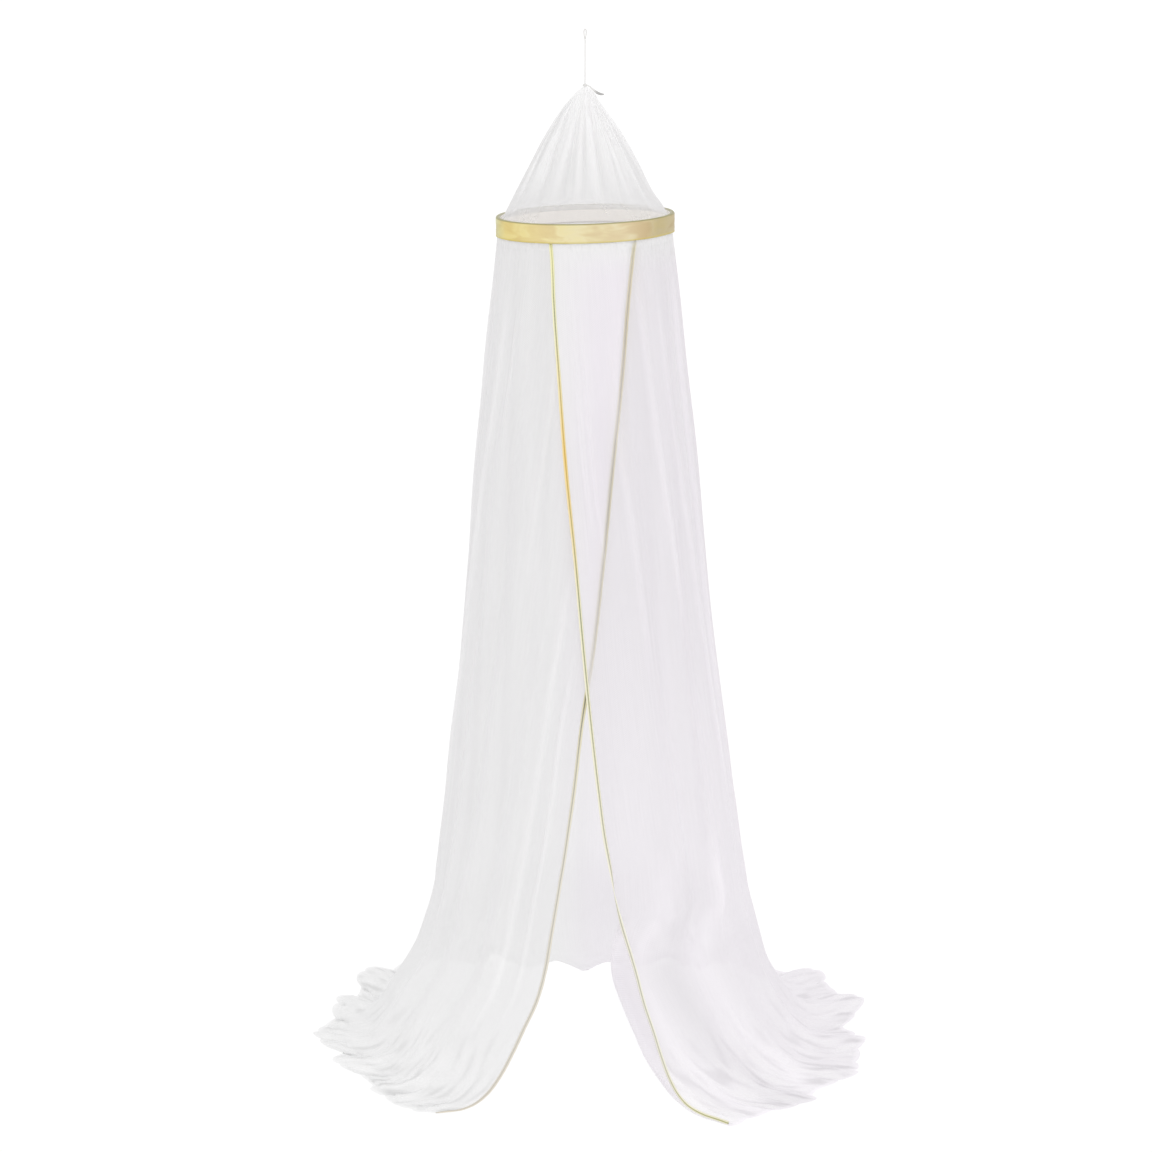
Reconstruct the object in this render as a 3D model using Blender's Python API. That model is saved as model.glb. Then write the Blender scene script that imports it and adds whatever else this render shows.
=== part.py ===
"""Sheer bed canopy: a gathered cone on a cord, a hoop in a satin band, and a net that falls to the floor.

The net wall is one sheet that goes more than once round the hoop, so that its two bound edges
overlap in front at the top, cross at half height and stand open at the floor.
Metres, +Z up. X is to the viewer's right and the opening faces -Y.
Heights in the tables are above the floor. The origin is at the top of the hanging loop.
"""
import math

import bmesh
import bpy
from mathutils import Vector

# Heights above the floor
HANG_HEIGHT = 2.444
KNOT_TOP = 2.4255
CORD_TOP = 2.4197
CORD_FOOT = 2.3190
BAND_TOP = 2.038
BAND_HEIGHT = 0.042

# The hoop and the satin band that is sewn round it
BAND_RADIUS = 0.200
BAND_THICK = 0.0012
HOOP_DIAMETER = 0.006
HOOP_LEAN_DEG = 1.6
RING_STEPS = 64
HOOP_SIDES = 6
WRINKLE_DEPTH = 0.0011

# Cloth, and the gap that touching pieces keep
NET_THICK = 0.0012
GAP = 0.0003
BINDING_THICK = 0.001
BINDING_GAP = 0.0005

# Cord, loop and tie
CORD_DIAMETER = 0.0022
LOOP_WIDTH = 0.0085
LOOP_STEPS = 20
TIE_INNER_RADIUS = 0.0029
TIE_OUTER_RADIUS = 0.0052
TIE_HEIGHT = 0.0050
TIE_FOOT = 2.3185
TAIL_WIDTH = 0.0065
TAIL_THICK = 0.0012

# The fold that turns the front edge back over itself near the floor
TURN_HALF_WIDTH = 0.012

# How far the two layers of the overlap stand apart, centre to centre
SPLIT_AT_BAND = 0.0036
SPLIT_BELOW = 0.012
SPLIT_DROP = 0.10
OVERLAP_REACH = 0.26
OVERLAP_FADE = 0.09

# Net wall, one row for each level from the band down and then out along the floor:
# height, share of the way from foot to hem outline, half-widths to the left and right,
# half-depths to the front and back, degrees from the front to the front edge and to the rear edge,
# width of net turned back at the front edge, share of the fold depth, share lying on the floor
WALL_ROWS = (
    (2.006, 0.00, 0.1976, 0.1976, 0.1976, 0.1976, -23.6, 35.2, -0.0120, 0.00, 0.00),
    (1.9944, 0.00, 0.1976, 0.1976, 0.1976, 0.1976, -23.3, 34.9, -0.0120, 0.00, 0.00),
    (1.960, 0.00, 0.1990, 0.2000, 0.1990, 0.1990, -22.0, 33.2, -0.0120, 0.18, 0.00),
    (1.880, 0.00, 0.2070, 0.2090, 0.2050, 0.2060, -19.8, 29.2, -0.0120, 0.30, 0.00),
    (1.700, 0.00, 0.2260, 0.2275, 0.2220, 0.2240, -15.0, 22.4, -0.0120, 0.45, 0.00),
    (1.500, 0.00, 0.2465, 0.2505, 0.2400, 0.2450, -10.3, 15.2, -0.0120, 0.55, 0.00),
    (1.300, 0.00, 0.2625, 0.2680, 0.2580, 0.2640, -5.3, 9.8, -0.0120, 0.62, 0.00),
    (1.100, 0.00, 0.2780, 0.2880, 0.2750, 0.2820, -1.4, 4.6, -0.0120, 0.70, 0.00),
    (0.920, 0.00, 0.2960, 0.3110, 0.2920, 0.3000, 2.0, -0.8, -0.0120, 0.76, 0.00),
    (0.770, 0.00, 0.3110, 0.3320, 0.3080, 0.3150, 4.8, -4.0, -0.0120, 0.82, 0.00),
    (0.660, 0.00, 0.3225, 0.3470, 0.3190, 0.3270, 7.0, -6.6, -0.0120, 0.87, 0.00),
    (0.625, 0.00, 0.3265, 0.3530, 0.3220, 0.3310, 7.9, -7.4, -0.0085, 0.88, 0.00),
    (0.595, 0.00, 0.3300, 0.3575, 0.3240, 0.3340, 8.7, -8.1, -0.0045, 0.90, 0.00),
    (0.565, 0.00, 0.3340, 0.3620, 0.3260, 0.3380, 9.5, -8.9, -0.0010, 0.91, 0.00),
    (0.535, 0.00, 0.3380, 0.3665, 0.3290, 0.3420, 10.3, -9.6, 0.0025, 0.92, 0.00),
    (0.505, 0.00, 0.3420, 0.3715, 0.3310, 0.3460, 11.3, -10.3, 0.0060, 0.93, 0.00),
    (0.475, 0.00, 0.3465, 0.3770, 0.3340, 0.3500, 12.4, -11.0, 0.0100, 0.95, 0.00),
    (0.445, 0.00, 0.3500, 0.3825, 0.3360, 0.3550, 13.4, -11.7, 0.0225, 0.96, 0.00),
    (0.405, 0.00, 0.3575, 0.3895, 0.3390, 0.3620, 14.9, -12.5, 0.0430, 0.98, 0.00),
    (0.350, 0.00, 0.3710, 0.4040, 0.3440, 0.3720, 16.6, -13.5, 0.0600, 1.00, 0.00),
    (0.270, 0.00, 0.3980, 0.4260, 0.3520, 0.3900, 18.5, -15.7, 0.0560, 1.00, 0.00),
    (0.200, 0.00, 0.4360, 0.4480, 0.3600, 0.4080, 20.5, -18.5, 0.0500, 1.00, 0.05),
    (0.140, 0.10, 0.4500, 0.4580, 0.3620, 0.4120, 22.2, -21.5, 0.0420, 1.00, 0.15),
    (0.085, 0.22, 0.4560, 0.4640, 0.3640, 0.4160, 24.2, -25.0, 0.0280, 1.00, 0.35),
    (0.045, 0.35, 0.4600, 0.4680, 0.3650, 0.4180, 26.4, -28.5, 0.0180, 1.00, 0.60),
    (0.018, 0.50, 0.4600, 0.4680, 0.3650, 0.4180, 29.2, -32.5, 0.0120, 0.96, 0.85),
    (0.003, 0.67, 0.4600, 0.4680, 0.3650, 0.4180, 32.8, -37.0, 0.0090, 0.90, 1.00),
    (0.000, 0.83, 0.4600, 0.4680, 0.3650, 0.4180, 35.6, -40.5, 0.0070, 0.80, 1.00),
    (0.000, 1.00, 0.4600, 0.4680, 0.3650, 0.4180, 37.5, -43.0, 0.0060, 0.62, 1.00),
)

# Hem outline on the floor: degrees from the front towards the right, radius
HEM_OUTLINE = (
    (-180, 0.440), (-165, 0.472), (-152, 0.560), (-139, 0.655), (-128, 0.690), (-118, 0.680),
    (-108, 0.632), (-95, 0.670), (-84, 0.625), (-76, 0.592), (-66, 0.558), (-59, 0.560), (-51, 0.562),
    (-43, 0.497), (0, 0.430), (38, 0.545), (44, 0.545), (50, 0.575), (58, 0.610), (73, 0.655),
    (82, 0.682), (94, 0.674), (104, 0.710), (112, 0.712), (119, 0.732), (126, 0.700), (136, 0.630),
    (150, 0.545), (165, 0.472), (180, 0.440),
)

# Folds of the wall from the front edge round the back to the rear edge: share of the width,
# depth on the wall, height of the ridge on the floor, how far its lobe reaches past the outline
FOLDS = (
    (0.80, 0.008, 0.018, 0.012),
    (1.10, 0.013, 0.030, 0.026),
    (0.90, 0.009, 0.024, 0.010),
    (1.25, 0.014, 0.034, 0.030),
    (0.80, 0.010, 0.026, 0.016),
    (1.05, 0.012, 0.032, 0.024),
    (1.20, 0.011, 0.022, 0.014),
    (0.95, 0.009, 0.018, 0.010),
    (1.15, 0.012, 0.020, 0.014),
    (0.85, 0.009, 0.024, 0.016),
    (1.15, 0.013, 0.032, 0.028),
    (0.90, 0.010, 0.028, 0.014),
    (1.20, 0.014, 0.034, 0.028),
    (0.85, 0.009, 0.024, 0.012),
    (1.05, 0.012, 0.028, 0.024),
    (0.80, 0.010, 0.020, 0.012),
)
FOLD_PHASES = (0.00, 0.27, 0.50, 0.73)
FOLDS_FROM, FOLDS_TO = 0.055, 0.955

# Cloth distances at which the net is bent: under a binding, either side of the turned fold, and
# near the rear edge
BOUND_WIDTH = 0.0075
TURN_STEPS = (-0.010, 0.0, 0.010, 0.028)
LEAST_TURN = 0.0225
TURN_REACH = 0.28
REAR_EDGE_STEPS = (0.040, 0.022, BOUND_WIDTH, 0.0)
EDGE_LIFT = 0.0018
EDGE_LIFT_REACH = 0.050

# Cone, from the neck down to the seam in the band: height, radius, share of the gather depth
CONE_ROWS = (
    (2.3240, 0.0020, 0.00),
    (2.3185, 0.0021, 0.00),
    (2.3158, 0.0070, 0.00),
    (2.3085, 0.0160, 0.30),
    (2.2890, 0.0298, 0.75),
    (2.2200, 0.0745, 1.00),
    (2.1400, 0.1205, 0.90),
    (2.0800, 0.1545, 0.60),
    (2.0440, 0.1795, 0.20),
    (2.0260, 0.1901, 0.00),
)

# The cone leans this far to the left of the axis between the neck and the band
CONE_SWAY = 0.0040

# Gathers of the cone, all the way round from the front: share of the turn, depth
GATHERS = (
    (0.8, 0.0050), (1.2, 0.0075), (1.0, 0.0055), (0.7, 0.0045), (1.3, 0.0080), (0.9, 0.0055),
    (1.1, 0.0065), (1.0, 0.0050), (0.8, 0.0060), (1.3, 0.0075), (0.9, 0.0050), (1.1, 0.0070),
    (0.7, 0.0045), (1.2, 0.0075), (1.0, 0.0060), (1.0, 0.0055),
)

# Loose end of the tie: distance to the right of the axis, height, turn of its face in degrees
TAIL_ROWS = (
    (0.0035, 2.3215, 90.0),
    (0.0095, 2.3190, 80.0),
    (0.0175, 2.3125, 66.0),
    (0.0260, 2.3060, 54.0),
    (0.0345, 2.3025, 48.0),
    (0.0420, 2.3015, 44.0),
)


def place(x, y, height):
    return Vector((x, y, height - HANG_HEIGHT))


def lean(x, share=1.0):
    """The right side of the hoop hangs a little higher than the left one."""
    return x * math.tan(math.radians(HOOP_LEAN_DEG)) * share


def between(a, b, share):
    return a + (b - a) * share


def read_table(table, key):
    """Straight interpolation in a table of (key, value) rows."""
    for (k0, v0), (k1, v1) in zip(table, table[1:]):
        if k0 <= key <= k1:
            return between(v0, v1, (key - k0) / (k1 - k0))
    return table[0][1] if key < table[0][0] else table[-1][1]


def ease(value):
    """Smooth 0 to 1 for a value that goes from 0 to 1."""
    value = min(max(value, 0.0), 1.0)
    return value * value * (3 - 2 * value)


def make_material(name, colour, roughness, metallic=0.0):
    material = bpy.data.materials.new(name)
    material.use_nodes = True
    shader = material.node_tree.nodes["Principled BSDF"]
    shader.inputs["Base Color"].default_value = (*colour, 1.0)
    shader.inputs["Roughness"].default_value = roughness
    shader.inputs["Metallic"].default_value = metallic
    material.diffuse_color = (*colour, 1.0)
    return material


def make_object(name, bm, material, smooth=True):
    bmesh.ops.recalc_face_normals(bm, faces=bm.faces)
    mesh = bpy.data.meshes.new(name)
    bm.to_mesh(mesh)
    bm.free()
    mesh.materials.append(material)
    if smooth:
        mesh.shade_smooth()
        mesh.set_sharp_from_angle(angle=math.radians(50))
    piece = bpy.data.objects.new(name, mesh)
    bpy.context.scene.collection.objects.link(piece)
    return piece


def add_ring_band(bm, ring_a, ring_b):
    """Quads, as triangle pairs, between two closed loops of points."""
    count = len(ring_a)
    for i in range(count):
        j = (i + 1) % count
        bm.faces.new((ring_a[i], ring_a[j], ring_b[j]))
        bm.faces.new((ring_a[i], ring_b[j], ring_b[i]))


def grid_normals(grid, closed):
    """Unit normals of a grid of points. They point to the left of down and along the rows."""
    rows, columns = len(grid), len(grid[0])
    normals = []
    for j in range(rows):
        line = []
        for k in range(columns):
            up, down = grid[max(j - 1, 0)][k], grid[min(j + 1, rows - 1)][k]
            if closed:
                left, right = grid[j][k - 1], grid[j][(k + 1) % columns]
            else:
                left, right = grid[j][max(k - 1, 0)], grid[j][min(k + 1, columns - 1)]
            line.append((right - left).cross(up - down).normalized())
        normals.append(line)
    return normals


def add_sheet(bm, grid, normals, thick, closed):
    """A closed solid of even thickness about a grid of points."""
    rows, columns = len(grid), len(grid[0])
    sides = []
    for sign in (1, -1):
        sides.append([
            [bm.verts.new(p + n * (sign * thick / 2)) for p, n in zip(points, lines)]
            for points, lines in zip(grid, normals)
        ])
    last = columns if closed else columns - 1
    for side in sides:
        for j in range(rows - 1):
            for k in range(last):
                m = (k + 1) % columns
                a, b = side[j][k], side[j][m]
                d, c = side[j + 1][k], side[j + 1][m]
                bm.faces.new((a, b, c))
                bm.faces.new((a, c, d))
    front, back = sides
    for j in (0, rows - 1):
        for k in range(last):
            m = (k + 1) % columns
            bm.faces.new((front[j][k], front[j][m], back[j][m]))
            bm.faces.new((front[j][k], back[j][m], back[j][k]))
    if not closed:
        for k in (0, columns - 1):
            for j in range(rows - 1):
                bm.faces.new((front[j][k], front[j + 1][k], back[j + 1][k]))
                bm.faces.new((front[j][k], back[j + 1][k], back[j][k]))


def fold_columns():
    """Where the folds bend the wall: share of the width, wave from -1 to 1 and the fold's own row."""
    total = sum(row[0] for row in FOLDS)
    columns, start = [], 0.0
    for row in FOLDS:
        for phase in FOLD_PHASES:
            share = between(FOLDS_FROM, FOLDS_TO, (start + phase * row[0]) / total)
            columns.append((share, -math.cos(2 * math.pi * phase), row))
        start += row[0]
    columns.append((FOLDS_TO, -1.0, FOLDS[-1]))
    return columns


def outline_point(row, degrees):
    """A level's plain outline, before folds, at an angle from the front."""
    _, flare, left, right, front, back = row[:6]
    angle = math.radians(degrees)
    wide = right if math.sin(angle) > 0 else left
    deep = front if math.cos(angle) > 0 else back
    x, y = wide * math.sin(angle), -deep * math.cos(angle)
    if flare:
        turned = (degrees + 180) % 360 - 180
        radius = read_table(HEM_OUTLINE, turned)
        x = between(x, radius * math.sin(angle), flare)
        y = between(y, -radius * math.cos(angle), flare)
    return x, y


def outline_speed(row, degrees):
    """Metres of outline for each degree."""
    (x0, y0), (x1, y1) = outline_point(row, degrees - 1), outline_point(row, degrees + 1)
    return math.hypot(x1 - x0, y1 - y0) / 2


def turn_back(distance, width):
    """Where the cloth at a distance from its front edge lies once the edge is turned back:
    distance along the outline from the unturned edge, and how far it stands out in front."""
    share = (distance - width) / TURN_HALF_WIDTH
    if share >= 1:
        return distance, 0.0
    rise = 2 * TURN_HALF_WIDTH / math.pi
    if share <= -1:
        return 2 * width - distance, 2 * rise
    quarter = math.pi / 2 * share
    return width + TURN_HALF_WIDTH - rise * math.cos(quarter), rise * (1 - math.sin(quarter))


def layer_split(row, share):
    """The front edge's side stands outside the rear edge's side where they overlap."""
    height = row[0]
    apart = between(SPLIT_AT_BAND, SPLIT_BELOW, ease((BAND_TOP - BAND_HEIGHT - height) / SPLIT_DROP))
    apart *= ease((height - 0.45) / 0.3)
    at_front = ease((OVERLAP_REACH - share) / OVERLAP_FADE)
    at_rear = ease((share - 1 + OVERLAP_REACH) / OVERLAP_FADE)
    outward = SPLIT_BELOW / 2 * ease((BAND_TOP - BAND_HEIGHT - height) / SPLIT_DROP)
    outward *= ease((height - 0.45) / 0.3)
    return outward * at_front - (apart - outward) * at_rear


def wall_point(row, degrees, share, wave, fold, stand_out, lift):
    """A point of the net's middle surface on one level."""
    height, flare, _, _, _, _, _, _, _, depth_share, on_floor = row
    x, y = outline_point(row, degrees)
    out = Vector((math.sin(math.radians(degrees)), -math.cos(math.radians(degrees)), 0.0))
    depth = ridge = reach = 0.0
    if fold:
        _, depth, ridge, reach = fold
    on_wall = depth * depth_share * wave * (1 - on_floor)
    raised = ridge * depth_share * (wave + 1) / 2 * on_floor
    slope = on_floor * math.pi / 2
    offset = on_wall + layer_split(row, share) + stand_out * math.cos(slope)
    offset += reach * flare ** 3 * wave
    point = Vector((x, y, 0.0)) + out * offset
    rest = NET_THICK / 2 + GAP / 3
    top = min(max((height - 1.6) / 0.35, 0.0), 1.0)
    point.z = rest + height + raised + lift * on_floor + stand_out * math.sin(slope)
    point.z += lean(point.x, ease(top))
    return place(*point)


def wall_grid():
    """The net wall's middle surface: rows of points from the front edge round to the rear edge."""
    columns = fold_columns()
    grid = []
    for row in WALL_ROWS:
        front_edge, rear_edge, width = row[6], row[7] + 360, row[8]
        speed = outline_speed(row, front_edge)
        start = front_edge - turn_back(0.0, width)[0] / speed
        points = []
        fold_at = max(width, LEAST_TURN)
        for distance in (0.0, BOUND_WIDTH, *(fold_at + step for step in TURN_STEPS)):
            along, stand_out = turn_back(distance, width)
            lift = EDGE_LIFT * ease(1.6 * (1 - distance / EDGE_LIFT_REACH))
            degrees = start + along / speed
            share = max(degrees - start, 0.0) / (rear_edge - start)
            points.append(wall_point(row, degrees, share, 0.0, None, stand_out, lift))
        for share, wave, fold in columns:
            first = between(start, front_edge, ease(share / TURN_REACH))
            degrees = between(first, rear_edge, share)
            points.append(wall_point(row, degrees, share, wave, fold, 0.0, 0.0))
        speed = outline_speed(row, rear_edge)
        for distance in REAR_EDGE_STEPS:
            lift = EDGE_LIFT * ease(1.6 * (1 - distance / EDGE_LIFT_REACH))
            degrees = rear_edge - distance / speed
            share = (degrees - start) / (rear_edge - start)
            points.append(wall_point(row, degrees, share, 0.0, None, 0.0, lift))
        grid.append(points)
    return grid


def wall_normals(grid):
    """The strips under the two bindings are straight across, so both their sides share a normal."""
    normals = grid_normals(grid, closed=False)
    rows = len(grid)
    for edge, inner in ((0, 1), (-1, -2)):
        for j in range(rows):
            down = grid[min(j + 1, rows - 1)][edge] - grid[max(j - 1, 0)][edge]
            across = grid[j][inner] - grid[j][edge]
            if edge:
                across.negate()
            normal = across.cross(-down).normalized()
            normals[j][edge] = normal
            normals[j][inner] = normal
    return normals


def build_wall(grid, normals, material):
    bm = bmesh.new()
    add_sheet(bm, grid, normals, NET_THICK, closed=False)
    make_object("wall_net", bm, material)


def build_binding(name, grid, normals, edge, inner, material):
    """A strip folded over one edge of the net, from under the band to the hem."""
    inside = NET_THICK / 2 + BINDING_GAP
    outside = inside + BINDING_THICK
    fold = -BINDING_GAP
    bm = bmesh.new()
    rings = []
    for points, lines in zip(grid[1:], normals[1:]):
        across = points[inner] - points[edge]
        leg = across.length - GAP
        across.normalize()
        section = (
            (leg, outside),
            (fold, outside),
            (fold - BINDING_THICK, 0.0),
            (fold, -outside),
            (leg, -outside),
            (leg, -inside),
            (fold, -inside),
            (fold, inside),
            (leg, inside),
        )
        rings.append([
            bm.verts.new(points[edge] + across * along + lines[edge] * out)
            for along, out in section
        ])
    for upper, lower in zip(rings, rings[1:]):
        for i in range(len(upper)):
            j = (i + 1) % len(upper)
            turned = i in ((0, 5, 6) if edge == 0 else (3, 6, 7))
            add_split_quad(bm, upper[i], upper[j], lower[j], lower[i], turned)
    for ring in (rings[0], rings[-1]):
        for corners in ((0, 1, 7, 8), (1, 2, 7), (2, 6, 7), (2, 3, 6), (3, 4, 5, 6)):
            bm.faces.new([ring[i] for i in corners])
    make_object(name, bm, material)


def add_split_quad(bm, a, b, c, d, turned):
    """Two triangles, split the same way as the net under them."""
    if turned:
        bm.faces.new((a, b, d))
        bm.faces.new((b, c, d))
    else:
        bm.faces.new((a, b, c))
        bm.faces.new((a, c, d))


def cone_columns():
    """Angle and wave for each bend of the cone's gathers."""
    total = sum(row[0] for row in GATHERS)
    columns, start = [], 0.0
    for row in GATHERS:
        for phase in (0.0, 0.25, 0.5, 0.75):
            angle = 2 * math.pi * (start + phase * row[0]) / total
            columns.append((angle, -math.cos(2 * math.pi * phase) * row[1]))
        start += row[0]
    return columns


def build_cone(material):
    columns = cone_columns()
    even = [2 * math.pi * i / RING_STEPS for i in range(RING_STEPS)]
    grid = []
    for height, radius, share in CONE_ROWS:
        seam = ease((BAND_TOP + 0.02 - height) / 0.03)
        sway = CONE_SWAY * ease((2.312 - height) / 0.03) * ease((height - BAND_TOP) / 0.03)
        points = []
        for (angle, wave), ring_angle in zip(columns, even):
            turned = between(angle, ring_angle, seam)
            reach = radius + wave * share * min(radius / 0.06, 1.0)
            x, y = reach * math.sin(turned), -reach * math.cos(turned)
            raised = lean(x, ease((2.30 - height) / 0.2))
            points.append(place(x - sway, y, height + raised))
        grid.append(points)
    bm = bmesh.new()
    add_sheet(bm, grid, grid_normals(grid, closed=True), NET_THICK, closed=True)
    make_object("cone_net", bm, material)


def add_turned_ring(bm, section, steps, wrinkle=None):
    """A section of (radius, height) points taken round the axis."""
    rings = []
    for i in range(steps):
        angle = 2 * math.pi * i / steps
        ring = []
        for radius, height in section:
            reach = radius + (wrinkle(angle, radius, height) if wrinkle else 0.0)
            x, y = reach * math.sin(angle), -reach * math.cos(angle)
            ring.append(bm.verts.new(place(x, y, height)))
        rings.append(ring)
    for i in range(steps):
        add_ring_band(bm, rings[i], rings[(i + 1) % steps])


def lean_mesh(bm):
    for vert in bm.verts:
        vert.co.z += lean(vert.co.x)


def build_band(material):
    """A strip folded over the hoop, open below where the net goes in."""
    foot = BAND_TOP - BAND_HEIGHT
    slot = HOOP_DIAMETER + 2 * GAP
    outer, outer_face = BAND_RADIUS, BAND_RADIUS - BAND_THICK
    inner_face = outer_face - slot
    inner = inner_face - BAND_THICK
    roof = BAND_TOP - BAND_THICK
    section = (
        (outer, foot),
        (outer, foot + 0.36 * BAND_HEIGHT),
        (outer, foot + 0.70 * BAND_HEIGHT),
        (outer - 0.0003, BAND_TOP - 0.0015),
        (outer - 0.0018, BAND_TOP),
        (inner + 0.0018, BAND_TOP),
        (inner, BAND_TOP - 0.0018),
        (inner, foot),
        (inner_face, foot),
        (inner_face, roof),
        (outer_face, roof),
        (outer_face, foot),
    )

    def wrinkle(angle, radius, height):
        if radius < outer - 0.0005 or height < foot + 0.001:
            return 0.0
        wave = math.sin(9 * angle + 60 * height) + math.sin(14 * angle - 90 * height + 1.3)
        return WRINKLE_DEPTH * (wave + 2) / 4

    bm = bmesh.new()
    add_turned_ring(bm, section, RING_STEPS, wrinkle)
    lean_mesh(bm)
    make_object("hoop_band", bm, material)


def build_hoop(material):
    middle_radius = BAND_RADIUS - BAND_THICK - GAP - HOOP_DIAMETER / 2
    middle_height = BAND_TOP - BAND_THICK - GAP - HOOP_DIAMETER / 2
    section = []
    for i in range(HOOP_SIDES):
        angle = 2 * math.pi * (i + 0.5) / HOOP_SIDES
        section.append((
            middle_radius + HOOP_DIAMETER / 2 * math.sin(angle),
            middle_height + HOOP_DIAMETER / 2 * math.cos(angle),
        ))
    bm = bmesh.new()
    add_turned_ring(bm, section, RING_STEPS)
    lean_mesh(bm)
    make_object("hoop", bm, material)


def build_cord(material):
    """The cord that holds the canopy up, taut from the neck to the knot of the hanging loop."""
    spacing = 2.5 * CORD_DIAMETER
    count = math.ceil((CORD_TOP - CORD_FOOT) / spacing) + 1
    curve = bpy.data.curves.new("hanging_cord", "CURVE")
    curve.dimensions = "3D"
    curve.bevel_depth = CORD_DIAMETER / 2
    curve.bevel_resolution = 2
    curve.use_fill_caps = True
    spline = curve.splines.new("POLY")
    spline.points.add(count - 1)
    for i, point in enumerate(spline.points):
        height = between(CORD_FOOT, CORD_TOP, i / (count - 1))
        point.co = (*place(0.0, 0.0, height), 1.0)
    curve.materials.append(material)
    piece = bpy.data.objects.new("hanging_cord", curve)
    bpy.context.scene.collection.objects.link(piece)


def build_loop(material):
    """The loop at the cord's top and the knot that closes it, as one piece."""
    radius = CORD_DIAMETER / 2
    top, foot = HANG_HEIGHT - radius, KNOT_TOP - 0.002
    bm = bmesh.new()
    rings = []
    for i in range(LOOP_STEPS):
        angle = 2 * math.pi * i / LOOP_STEPS
        middle = (top + foot) / 2 + (top - foot) / 2 * math.cos(angle)
        narrow = 0.62 + 0.38 * math.cos(angle / 2) ** 2
        side = (LOOP_WIDTH / 2 - radius) * math.sin(angle) * narrow
        along = Vector((math.cos(angle) * LOOP_WIDTH / 2, 0.0, -math.sin(angle) * (top - foot) / 2))
        across = Vector((along.z, 0.0, -along.x)).normalized()
        ring = []
        for k in range(8):
            turn = 2 * math.pi * k / 8
            offset = across * (radius * math.cos(turn)) + Vector((0, radius * math.sin(turn), 0))
            ring.append(bm.verts.new(place(side, 0.0, middle) + offset))
        rings.append(ring)
    for i in range(LOOP_STEPS):
        add_ring_band(bm, rings[i], rings[(i + 1) % LOOP_STEPS])
    loop = make_object("hanging_loop", bm, material)

    knot_bm = bmesh.new()
    bmesh.ops.create_uvsphere(knot_bm, u_segments=12, v_segments=8, radius=1.0)
    half_height = (KNOT_TOP - CORD_TOP - GAP) / 2
    for vert in knot_bm.verts:
        vert.co = place(
            vert.co.x * CORD_DIAMETER,
            vert.co.y * CORD_DIAMETER * 0.9,
            CORD_TOP + GAP + half_height * (1 + vert.co.z),
        )
    join_solids(loop, knot_bm, material)


def join_solids(piece, extra_bm, material):
    """Unites a piece with a second closed form."""
    extra = make_object("extra_form", extra_bm, material)
    union = piece.modifiers.new("union", "BOOLEAN")
    union.operation = "UNION"
    union.solver = "EXACT"
    union.object = extra
    bpy.context.view_layer.update()
    evaluated = piece.evaluated_get(bpy.context.evaluated_depsgraph_get())
    mesh = bpy.data.meshes.new_from_object(evaluated)
    piece.modifiers.clear()
    piece.data = mesh
    bpy.data.objects.remove(extra)


def build_tie(material):
    """Cord wound round the cone's neck, with one loose flattened end to the right."""
    middle = TIE_FOOT + TIE_HEIGHT / 2
    thick = TIE_OUTER_RADIUS - TIE_INNER_RADIUS
    section = (
        (TIE_INNER_RADIUS, TIE_FOOT + 0.0012),
        (TIE_OUTER_RADIUS - thick / 3, TIE_FOOT),
        (TIE_OUTER_RADIUS, TIE_FOOT + TIE_HEIGHT / 4),
        (TIE_OUTER_RADIUS - thick / 5, middle),
        (TIE_OUTER_RADIUS, TIE_FOOT + TIE_HEIGHT * 3 / 4),
        (TIE_OUTER_RADIUS - thick / 3, TIE_FOOT + TIE_HEIGHT),
        (TIE_INNER_RADIUS, TIE_FOOT + TIE_HEIGHT - 0.0012),
    )
    bm = bmesh.new()
    add_turned_ring(bm, section, 16)
    tie = make_object("neck_tie", bm, material)

    tail_bm = bmesh.new()
    grid, normals = [], []
    for i, (x, height, face) in enumerate(TAIL_ROWS):
        x0, height0, _ = TAIL_ROWS[max(i - 1, 0)]
        x1, height1, _ = TAIL_ROWS[min(i + 1, len(TAIL_ROWS) - 1)]
        along = Vector((x1 - x0, 0.0, height1 - height0)).normalized()
        over = Vector((-along.z, 0.0, along.x))
        turn = math.radians(face)
        across = Vector((0, math.cos(turn), 0)) + over * math.sin(turn)
        normal = along.cross(across).normalized()
        half = TAIL_WIDTH / 2 * (0.3 if i == 0 else 0.75 if i in (1, len(TAIL_ROWS) - 1) else 1.0)
        middle = place(x, -0.001, height)
        grid.append([middle - across * half, middle + across * half])
        normals.append([normal, normal])
    add_sheet(tail_bm, grid, normals, TAIL_THICK, closed=False)
    join_solids(tie, tail_bm, material)


def main():
    for piece in list(bpy.context.scene.objects):
        bpy.data.objects.remove(piece)
    net = make_material("sheer net", (0.90, 0.90, 0.91), 0.85)
    satin = make_material("gold satin", (0.78, 0.62, 0.28), 0.42)
    cotton = make_material("white cord", (0.88, 0.88, 0.87), 0.75)
    tape = make_material("grey tape", (0.62, 0.61, 0.60), 0.80)
    plastic = make_material("white plastic", (0.85, 0.85, 0.84), 0.40)

    grid = wall_grid()
    normals = wall_normals(grid)
    build_wall(grid, normals, net)
    build_binding("front_binding", grid, normals, 0, 1, satin)
    build_binding("rear_binding", grid, normals, -1, -2, satin)
    build_cone(net)
    build_band(satin)
    build_hoop(plastic)
    build_cord(cotton)
    build_loop(cotton)
    build_tie(tape)


main()
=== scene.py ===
"""Sheer bed canopy with a hoop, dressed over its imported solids.

Metres, +Z up, in the solids' frame: the origin is at the top of the hanging loop, X runs to the
viewer's right and the opening faces -Y. Heights in the tables are above the floor.
"""
import math

import bmesh
import bpy
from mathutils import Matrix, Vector, noise


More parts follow.
